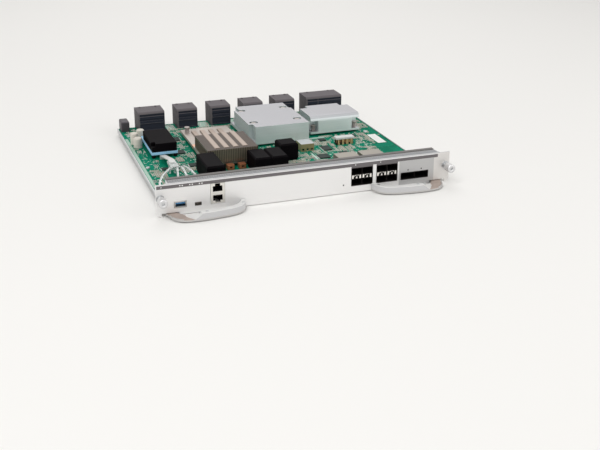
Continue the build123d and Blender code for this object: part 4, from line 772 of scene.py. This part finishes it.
# Each wire's rectangle is carried along a curve that leaves its level as the power 1.6 of
# the way left to go
wire_x = -116.7 + (np.arange(8) - 3.5) * 1.02
wire_corners = np.array([
    (-0.17, 0.0, -0.12), (0.17, 0.0, -0.12), (0.17, 0.0, 0.12), (-0.17, 0.0, 0.12)])
run = np.linspace(0.0, 1.0, 14)
wires = []
for sign in (-1, 1):
    level = 21.7 + sign * (3.1 + 3.0 * (1.0 - run) ** 1.6)
    path = np.stack([0.0 * run, 7.0 + 6.6 * run, level], axis=1)
    wires.append(in_row(wire_x, 0.0, 0.0)[:, None, None] + path[:, None] + wire_corners)
wires = np.concatenate(wires)
piece("jack_wires", wires[:, ::-1], gold_finish)

# Transceiver cages: stamped nickel silver boxes pressed into the board, two stacks of small
# ports and a low one of two wide ports. Curled latch springs stand in the stacks' middle band.
cage_finish = metal("nickel_silver", (0.50, 0.46, 0.42), 0.42, (200.0, 200.0, 200.0),
                    0.7, 0.18, 0.04)
cage_tree = cage_finish.node_tree
cage_x, cage_y, cage_z = object_place(cage_tree)
# The mouth, the front edges and the inside are painted dark as painted shade; tops, outer sides and
# backs keep the bare sheet
cage_way = object_place(cage_tree, "Normal")
stack_top, low_cage_left, low_cage_top = 0.0322, 0.121, 0.0181
roof = maths(cage_tree, "MAXIMUM", above(cage_tree, cage_z, stack_top),
             times(cage_tree, above(cage_tree, cage_x, low_cage_left),
                   above(cage_tree, cage_z, low_cage_top)))
unshaded_outside = times(cage_tree, roof, above(cage_tree, cage_way[2], 0.5))
# From the outer side of one cage to that of the next, along X
for low, high in ((0.0, 0.05565), (0.08405, 0.08965), (0.11815, 0.12345), (0.16155, 0.2)):
    unshaded_outside = maths(cage_tree, "MAXIMUM", unshaded_outside, within(cage_tree, cage_x, low, high))
# The front edges round the mouths are left out, so they take the painted shade too
unshaded_outside = times(cage_tree, unshaded_outside, above(cage_tree, cage_y, front + 0.0018))
tint(cage_finish, blend(cage_tree, unshaded_outside, (0.02, 0.016, 0.016), (0.31, 0.285, 0.25)))
dress(cage_finish, "sfp_cage_left", "sfp_cage_right", "qsfp_cage")
dress(jack_black, "sfp_latches")
latch_finish = metal("latch_spring", (0.95, 0.92, 0.86), 0.38, (300.0, 300.0, 300.0),
                     0.5, 0.15, 0.05)
# Corners of the four cut shapes that show in each band, across and up from its middle
latch_shapes = {
    "side_left": [(-6.5, -2.1), (-4.3, -2.1), (-3.9, 1.2), (-4.6, 2.0), (-6.2, 1.7)],
    "bridge": [(-3.3, 0.5), (-2.1, 1.2), (-0.5, 1.55), (1.2, 1.5), (2.6, 1.0), (2.9, 1.5),
               (1.4, 2.0), (-0.6, 2.1), (-2.4, 1.7), (-3.6, 0.9)],
    "tongue": [(-1.5, -1.7), (0.9, -1.7), (0.7, -0.2), (-0.1, 0.6)],
    "side_right": [(3.4, -2.1), (6.0, -2.1), (5.6, 1.9), (4.2, 1.9), (3.6, 0.8)],
}
port_xs = np.concatenate([cage_xs - 7.1, cage_xs + 7.1])
band_z, band_stretch = 20.9, 1.28
for label, corners in latch_shapes.items():
    # The cut shape at three depths, the front one drawn in towards the corners' mean
    corners = np.array(corners)
    middle = corners.mean(axis=0)
    cut = np.stack([middle + size * (corners - middle) for size in (1.0, 1.0, 0.86)])
    depth = np.broadcast_to(np.array([0.55, 0.2, 0.05])[:, None], cut.shape[:2])
    latch = np.stack([cut[..., 0], depth, band_stretch * cut[..., 1] + band_z], axis=-1)
    latch_rings = in_row(port_xs, 0.0, 0.0)[:, None, None] + latch
    piece(f"latch_{label}", latch_rings, latch_finish)

# Reset button: a dark moulded plastic plunger behind its pinhole, pressed against the small
# switch on the board.
button_finish = moulded("button_plastic", (0.03, 0.028, 0.03), 0.5)
dress(button_finish, "reset_button")

# Coolers of the switch chips: stacks of folded aluminium fins, joined edge to edge, on bases
# that are screwed down over the chips.
cooler_finish = metal("cooler_aluminium", (0.60, 0.605, 0.62), 0.45, (12.0, 700.0, 700.0),
                      0.6, 0.14, 0.04)
cooler_tree = cooler_finish.node_tree
cooler_way = object_place(cooler_tree, "Normal")
# Painted light and shade: the side faces are painted pale and bluish, the faces that look up darker
upward_shade_share = maths(cooler_tree, "MINIMUM", maths(cooler_tree, "MAXIMUM", cooler_way[2], 0.0), 1.0)
cooler_tone = blend(cooler_tree, upward_shade_share, (0.78, 0.86, 0.86), (0.43, 0.43, 0.455))
# Faint lines across the top where the folded fins meet
fin_pitch = 3.1
fold_way = wrapped(cooler_tree, object_place(cooler_tree)[1], 1000.0 / fin_pitch)
fold_line = times(cooler_tree, below(cooler_tree, fold_way, 0.3),
                  above(cooler_tree, cooler_way[2], 0.45))
cooler_tone = blend(cooler_tree, times(cooler_tree, fold_line, 0.5), cooler_tone,
                    (0.33, 0.33, 0.36))
tint(cooler_finish, cooler_tone)
dress(cooler_finish, "cooler_fins_large", "cooler_fins_small", "cooler_bases")


# Small cooler: an outer sheet folded over the fins with a rounded top front edge. The
# front bays for its spring screws are open below the fold, the rear ones open to the top.
def drawn_across(outline, low, high):
    """One body whose outline in depth and height is carried along X from low to high; the
    outline runs so that depth turns towards height."""
    flat = np.asarray(outline, float)
    stack = np.broadcast_to(flat, (2,) + flat.shape)
    x = np.broadcast_to(np.array([low, high])[:, None], stack.shape[:2])
    return np.concatenate([x[..., None], stack], axis=-1)[None]


sheet_gauge, bend_radius, base_top, sheet_top = 0.6, 8.0, 15.4, 38.4
sheet_front, bay_front, bay_rear, sheet_rear = 210.0, 222.4, 257.6, 269.0
left_side, bay_left, bay_right, right_side = 79.0, 91.4, 142.6, 155.0


def folded(inset, first_angle):
    """The bent sheet's front edge: a quarter circle of the bend's radius less the inset, from
    the first angle above level up to the top."""
    bend = np.linspace(first_angle, np.pi / 2.0, 10)
    radius = bend_radius - inset
    return np.stack([sheet_front + bend_radius - radius * np.cos(bend),
                     sheet_top - bend_radius + radius * np.sin(bend)], axis=1)


def hood(inset):
    """The line of the sheet at an inset from its outer face: up, round the fold, back, down."""
    return np.concatenate([
        [(sheet_front + inset, base_top)], folded(inset, 0.0),
        [(sheet_rear - inset, sheet_top - inset), (sheet_rear - inset, base_top)]])


cheek = np.concatenate([[(bay_front, base_top), (bay_front, sheet_top - 0.2)],
                        folded(0.2, 0.0)[::-1], [(sheet_front + 0.2, base_top)]])
visor = np.concatenate([[(bay_rear, sheet_top - sheet_gauge), (bay_rear, sheet_top)],
                        folded(0.0, 0.15)[::-1], folded(sheet_gauge, 0.15)])
for label, outline, low, high in (
    ("middle_sheet", np.concatenate([hood(0.0)[::-1], hood(sheet_gauge)]), bay_left, bay_right),
    ("left_visor", visor, left_side, bay_left),
    ("right_visor", visor, bay_right, right_side),
    ("left_cheek", cheek, bay_left - sheet_gauge, bay_left),
    ("right_cheek", cheek, bay_right, bay_right + sheet_gauge),
):
    made = piece(f"small_cooler_{label}", drawn_across(outline, low, high), cooler_finish)
    if label == "middle_sheet":
        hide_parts("cooler_fins_small")
# Fins before, between and behind the screw bays; the first is low, under the fold
fin_y = np.concatenate([213.2 + fin_pitch * np.arange(3), 222.6 + fin_pitch * np.arange(12),
                        259.4 + fin_pitch * np.arange(3)])
between = (fin_y > bay_front) & (fin_y < bay_rear)
fin_w = np.where(between, right_side - left_side - 0.4, bay_right - bay_left - 0.4)
fin_h = np.where(fin_y < 215.0, 19.6, 22.3)
fin_feet = np.column_stack([np.full_like(fin_y, 117.0), fin_y, np.full_like(fin_y, base_top)])
fin_rings = blocks(fin_feet, np.column_stack([fin_w, np.full_like(fin_y, 0.5), fin_h]), 0.05)
piece("small_cooler_fins", fin_rings, cooler_finish)

# Spring screws: dark steel screws that press the three coolers down, each with a round head
# on a coiled sleeve, lower in the two front bays of the small cooler. One profile is spun.
spring_screw_finish = metal("spring_screw_steel", (0.42, 0.38, 0.365), 0.38,
                            (300.0, 300.0, 300.0), 1.0, 0.2, 0.04)
dress(spring_screw_finish, "cooler_screws")


def corner_screws(middle_x, middle_y, reach_x, reach_y, front_top, rear_top):
    """The four screws of a cooler: x and y, the foot's height and the head's top."""
    return [(middle_x + a * reach_x, middle_y + b * reach_y, base_top, top)
            for a in (-1, 1) for b, top in ((-1, front_top), (1, rear_top))]


spring_screws = np.array([
    (-92.0, 265.0, 17.0, 25.0), (-36.0, 221.0, 17.0, 25.0),
    *corner_screws(25.8, 244.0, 32.8, 31.5, 37.6, 37.6),
    *corner_screws(117.0, 239.5, 32.0, 23.5, 24.5, 34.9),
])
turns = np.linspace(0.0, 2.0 * np.pi, 16, endpoint=False)
coil_rings = 2 * 9 + 1
sleeve_low = spring_screws[:, 2:3]
sleeve_high = spring_screws[:, 3:4] - 2.4
screw_z = np.concatenate([
    sleeve_low + (-2.8, 0.05),
    sleeve_low + (sleeve_high - sleeve_low) * np.linspace(0.02, 0.98, coil_rings)[None],
    sleeve_high + (0.1, 0.4, 2.1, 2.4)], axis=1)
screw_radii = np.concatenate([
    (2.1, 2.1), np.where(np.arange(coil_rings) % 2 == 0, 2.5, 3.1), (2.6, 3.9, 3.9, 3.5)])
spun = np.stack([
    spring_screws[:, None, 0:1] + screw_radii[:, None] * np.cos(turns),
    spring_screws[:, None, 1:2] + screw_radii[:, None] * np.sin(turns),
    screw_z[..., None] + 0.0 * turns], axis=-1)
spun_screws = piece("spring_screws", spun, spring_screw_finish)
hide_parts("cooler_screws")

# Processor cooler: thin brown fins soldered on flat heat pipes of tinned copper, over a
# copper base that shows bare in one strip.
brown_finish = metal("brown_fins", (0.14, 0.10, 0.078), 0.45, (12.0, 900.0, 900.0), 0.7, 0.18, 0.05)
fin_tree = brown_finish.node_tree
fin_way = object_place(fin_tree, "Normal")
# Painted light and shade: the faces that look up are painted dark, the front and sides lighter,
# with dark stripes of painted shade for the gaps between fins on the front
fin_gap_shade = times(fin_tree, below(fin_tree, fin_way[1], -0.7),
                below(fin_tree, wrapped(fin_tree, object_place(fin_tree)[0], 420.0), 0.45))
fin_tone = blend(fin_tree, above(fin_tree, fin_way[2], 0.6),
                 (0.25, 0.21, 0.165), (0.062, 0.044, 0.034))
tint(brown_finish, blend(fin_tree, fin_gap_shade, fin_tone, (0.10, 0.085, 0.062)))
dress(brown_finish, "cpu_fins")
pipe_finish = metal("tinned_copper", (0.42, 0.34, 0.29), 0.4, (900.0, 20.0, 900.0), 0.6, 0.15, 0.04)
dress(pipe_finish, "heat_pipes")
base_finish = metal("base_copper", (0.50, 0.45, 0.41), 0.42, (300.0, 300.0, 300.0), 0.5, 0.25, 0.04)
base_tree = base_finish.node_tree
bare_strip = within(base_tree, object_place(base_tree)[1], front + 0.196, front + 0.206)
tint(base_finish, blend(base_tree, bare_strip, (0.50, 0.45, 0.41), (0.80, 0.46, 0.32)))
dress(base_finish, "cpu_base")

# Power parts: black potted power modules, inductors wound with copper, and a transformer
# whose flat copper legs, bent down in a row, are soldered to the board.
module_finish = moulded("module_black", (0.0045, 0.0035, 0.0045), 0.6, 0.25, 0.1,
                        specular_ior_level=0.03)
dress(module_finish, "power_modules", "management_cooler")
winding_finish = metal("winding_copper", (0.42, 0.16, 0.075), 0.45, (900.0, 900.0, 900.0),
                       0.4, 0.3, 0.1)
dress(winding_finish, "inductors")
leg_finish = metal("leg_copper", (0.74, 0.50, 0.26), 0.4, (900.0, 900.0, 900.0), 0.6, 0.2, 0.1)
leg_tree = leg_finish.node_tree
# Dark stripes between the legs are painted shade in the gaps
leg_gap_shade = above(leg_tree, wrapped(leg_tree, object_place(leg_tree)[0], 158.0), 0.56)
tint(leg_finish, blend(leg_tree, leg_gap_shade, (0.74, 0.50, 0.26), (0.02, 0.014, 0.01)))
dress(leg_finish, "transformer_legs")

# Clock module: a soldered tin can, coloured yellowish brown on its sides and grey on top. Beside it
# stand white and cream parts: the transformer's cap, the bar that carries the light pipes, and
# sleeved capacitors.
clock_finish = metal("clock_case", (0.66, 0.66, 0.68), 0.38, (200.0, 200.0, 200.0), 0.4, 0.2, 0.05)
clock_tree = clock_finish.node_tree
clock_top = above(clock_tree, object_place(clock_tree, "Normal")[2], 0.6)
tint(clock_finish, blend(clock_tree, clock_top, (0.36, 0.31, 0.16), (0.50, 0.52, 0.53)))
dress(clock_finish, "clock_module")
white_finish = moulded("white_plastic", (0.66, 0.67, 0.66), 0.5)
dress(white_finish, "transformer_cap", "light_pipe_bracket")
cream_finish = moulded("cream_sleeve", (0.64, 0.61, 0.54), 0.42)
dress(cream_finish, "capacitors")

# Management board at the left: a small board of light-blue laminate, raised on posts and
# plugged into a connector of the main board.
blue_finish = moulded("blue_edge", (0.36, 0.66, 0.92), 0.5)
dress(blue_finish, "management_board")

# Rear connectors: dark violet-grey glass-filled plastic, pressed into the board's rear edge
# in a row. The guide block at their left end is die-cast metal.
connector_finish = moulded("connector_plastic", (0.085, 0.075, 0.082), 0.55, 0.2, 0.08,
                           specular_ior_level=0.15)
connector_tree = connector_finish.node_tree
rear_x, rear_y, rear_z = object_place(connector_tree)
connector_way = object_place(connector_tree, "Normal")
# Dark blue front, partly the plastic's own colour and partly painted shade of its slots. Two thin
# pale ledges and a paler rim at the top and at the left of each body and wafer, partly the plastic
# frame and partly a painted highlight on the edges that face the light. Ribs of the wafers on both
# sides, drawn as dark stripes of painted shade
rim = above(connector_tree, rear_z, 0.0352)
for low, high in ((0.0314, 0.0319), (0.0212, 0.0216)):
    rim = maths(connector_tree, "MAXIMUM", rim, within(connector_tree, rear_z, low, high))
for left_edge, rim_w in (
    (-153.75, 2.6), (-95.5, 2.6), (-44.0, 2.6), (7.5, 2.6), (59.0, 2.6), (109.5, 2.6), (129.0, 0.7),
):
    rim = maths(connector_tree, "MAXIMUM", rim,
                within(connector_tree, rear_x, left_edge * 0.001, (left_edge + rim_w) * 0.001))
side_way = above(connector_tree, maths(connector_tree, "ABSOLUTE", connector_way[0]), 0.7)
rib_shade = times(connector_tree, side_way,
            above(connector_tree, wrapped(connector_tree, rear_y, 420.0), 0.5))
front_tone = blend(connector_tree, rim, (0.024, 0.028, 0.042), (0.14, 0.126, 0.134))
connector_tone = blend(connector_tree, below(connector_tree, connector_way[1], -0.7),
                       (0.118, 0.105, 0.115), front_tone)
tint(connector_finish, blend(connector_tree, rib_shade, connector_tone, (0.028, 0.025, 0.03)))
dress(connector_finish, "backplane_connectors", "backplane_connector_wide")
guide_finish = metal("cast_guide", (0.07, 0.062, 0.072), 0.5, (500.0, 500.0, 500.0), 0.5, 0.2, 0.1)
dress(guide_finish, "guide_receptacle")

# Light pipes: one moulding of clear acrylic with polished faces. Four arms rise from a hub
# on two legs and arch forward to the lamps of the strip.
pipe_clear, pipe_tree, pipe_shader = new_material("clear_acrylic", (0.90, 0.93, 0.93), 0.0, 0.12,
                                                  transmission_weight=0.6, ior=1.49)
cast = put(pipe_tree, "TexNoise", Scale=220.0)
pipe_tree.links.new(put(pipe_tree, "TexCoord").outputs["Object"], cast.inputs["Vector"])
pipe_tree.links.new(maths(pipe_tree, "ADD", 0.04, times(pipe_tree, cast.outputs["Fac"], 0.2)),
                    pipe_shader.inputs["Roughness"])
dress(pipe_clear, "light_pipes")
# Each arm's centre line is a cubic curve drawn by four points. A rounded rectangle is carried
# along it: cosine and sine, each raised to 0.6 with its sign kept, times the half sizes.
arm_half_w, arm_half_h = 1.35, 1.05
t = np.linspace(0.0, 1.0, 25)[:, None]
round_it = np.linspace(0.0, 2.0 * np.pi, 12, endpoint=False)
wide = arm_half_w * np.sign(np.cos(round_it)) * np.abs(np.cos(round_it)) ** 0.6
tall = arm_half_h * np.sign(np.sin(round_it)) * np.abs(np.sin(round_it)) ** 0.6
arches = []
for number, lamp_end in enumerate(in_row([-184.5, -160.7, -148.8, -137.1], 2.0, lamp_z)):
    start = np.array([-149.6 + 2.75 * number, 97.2, 23.6])
    over = start + (0.0, -30.0, 18.2)
    before = lamp_end + (0.0, 26.0, 5.0)
    line = ((1 - t) ** 3 * start + 3 * t * (1 - t) ** 2 * over
            + 3 * t ** 2 * (1 - t) * before + t ** 3 * lamp_end)
    heading = np.gradient(line, axis=0)
    heading /= np.linalg.norm(heading, axis=1)[:, None]
    level_way = np.cross(heading, (0.0, 0.0, 1.0))
    level_way /= np.linalg.norm(level_way, axis=1)[:, None]
    risen_way = np.cross(level_way, heading)
    arches.append(line[:, None] + wide[:, None] * level_way[:, None]
                  + tall[:, None] * risen_way[:, None])
arches = np.stack(arches)
piece("light_pipe_arches", arches[:, ::-1], pipe_clear, smooth=True)
hub_rings = blocks([(-145.5, 112.0, 22.0), (-149.0, 121.0, 9.3), (-142.0, 121.0, 9.3)],
                   [(11.0, 29.6, 3.0), (2.4, 4.0, 12.7), (2.4, 4.0, 12.7)], 0.4)
hub = piece("light_pipe_hub", hub_rings, pipe_clear)
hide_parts("light_pipes")
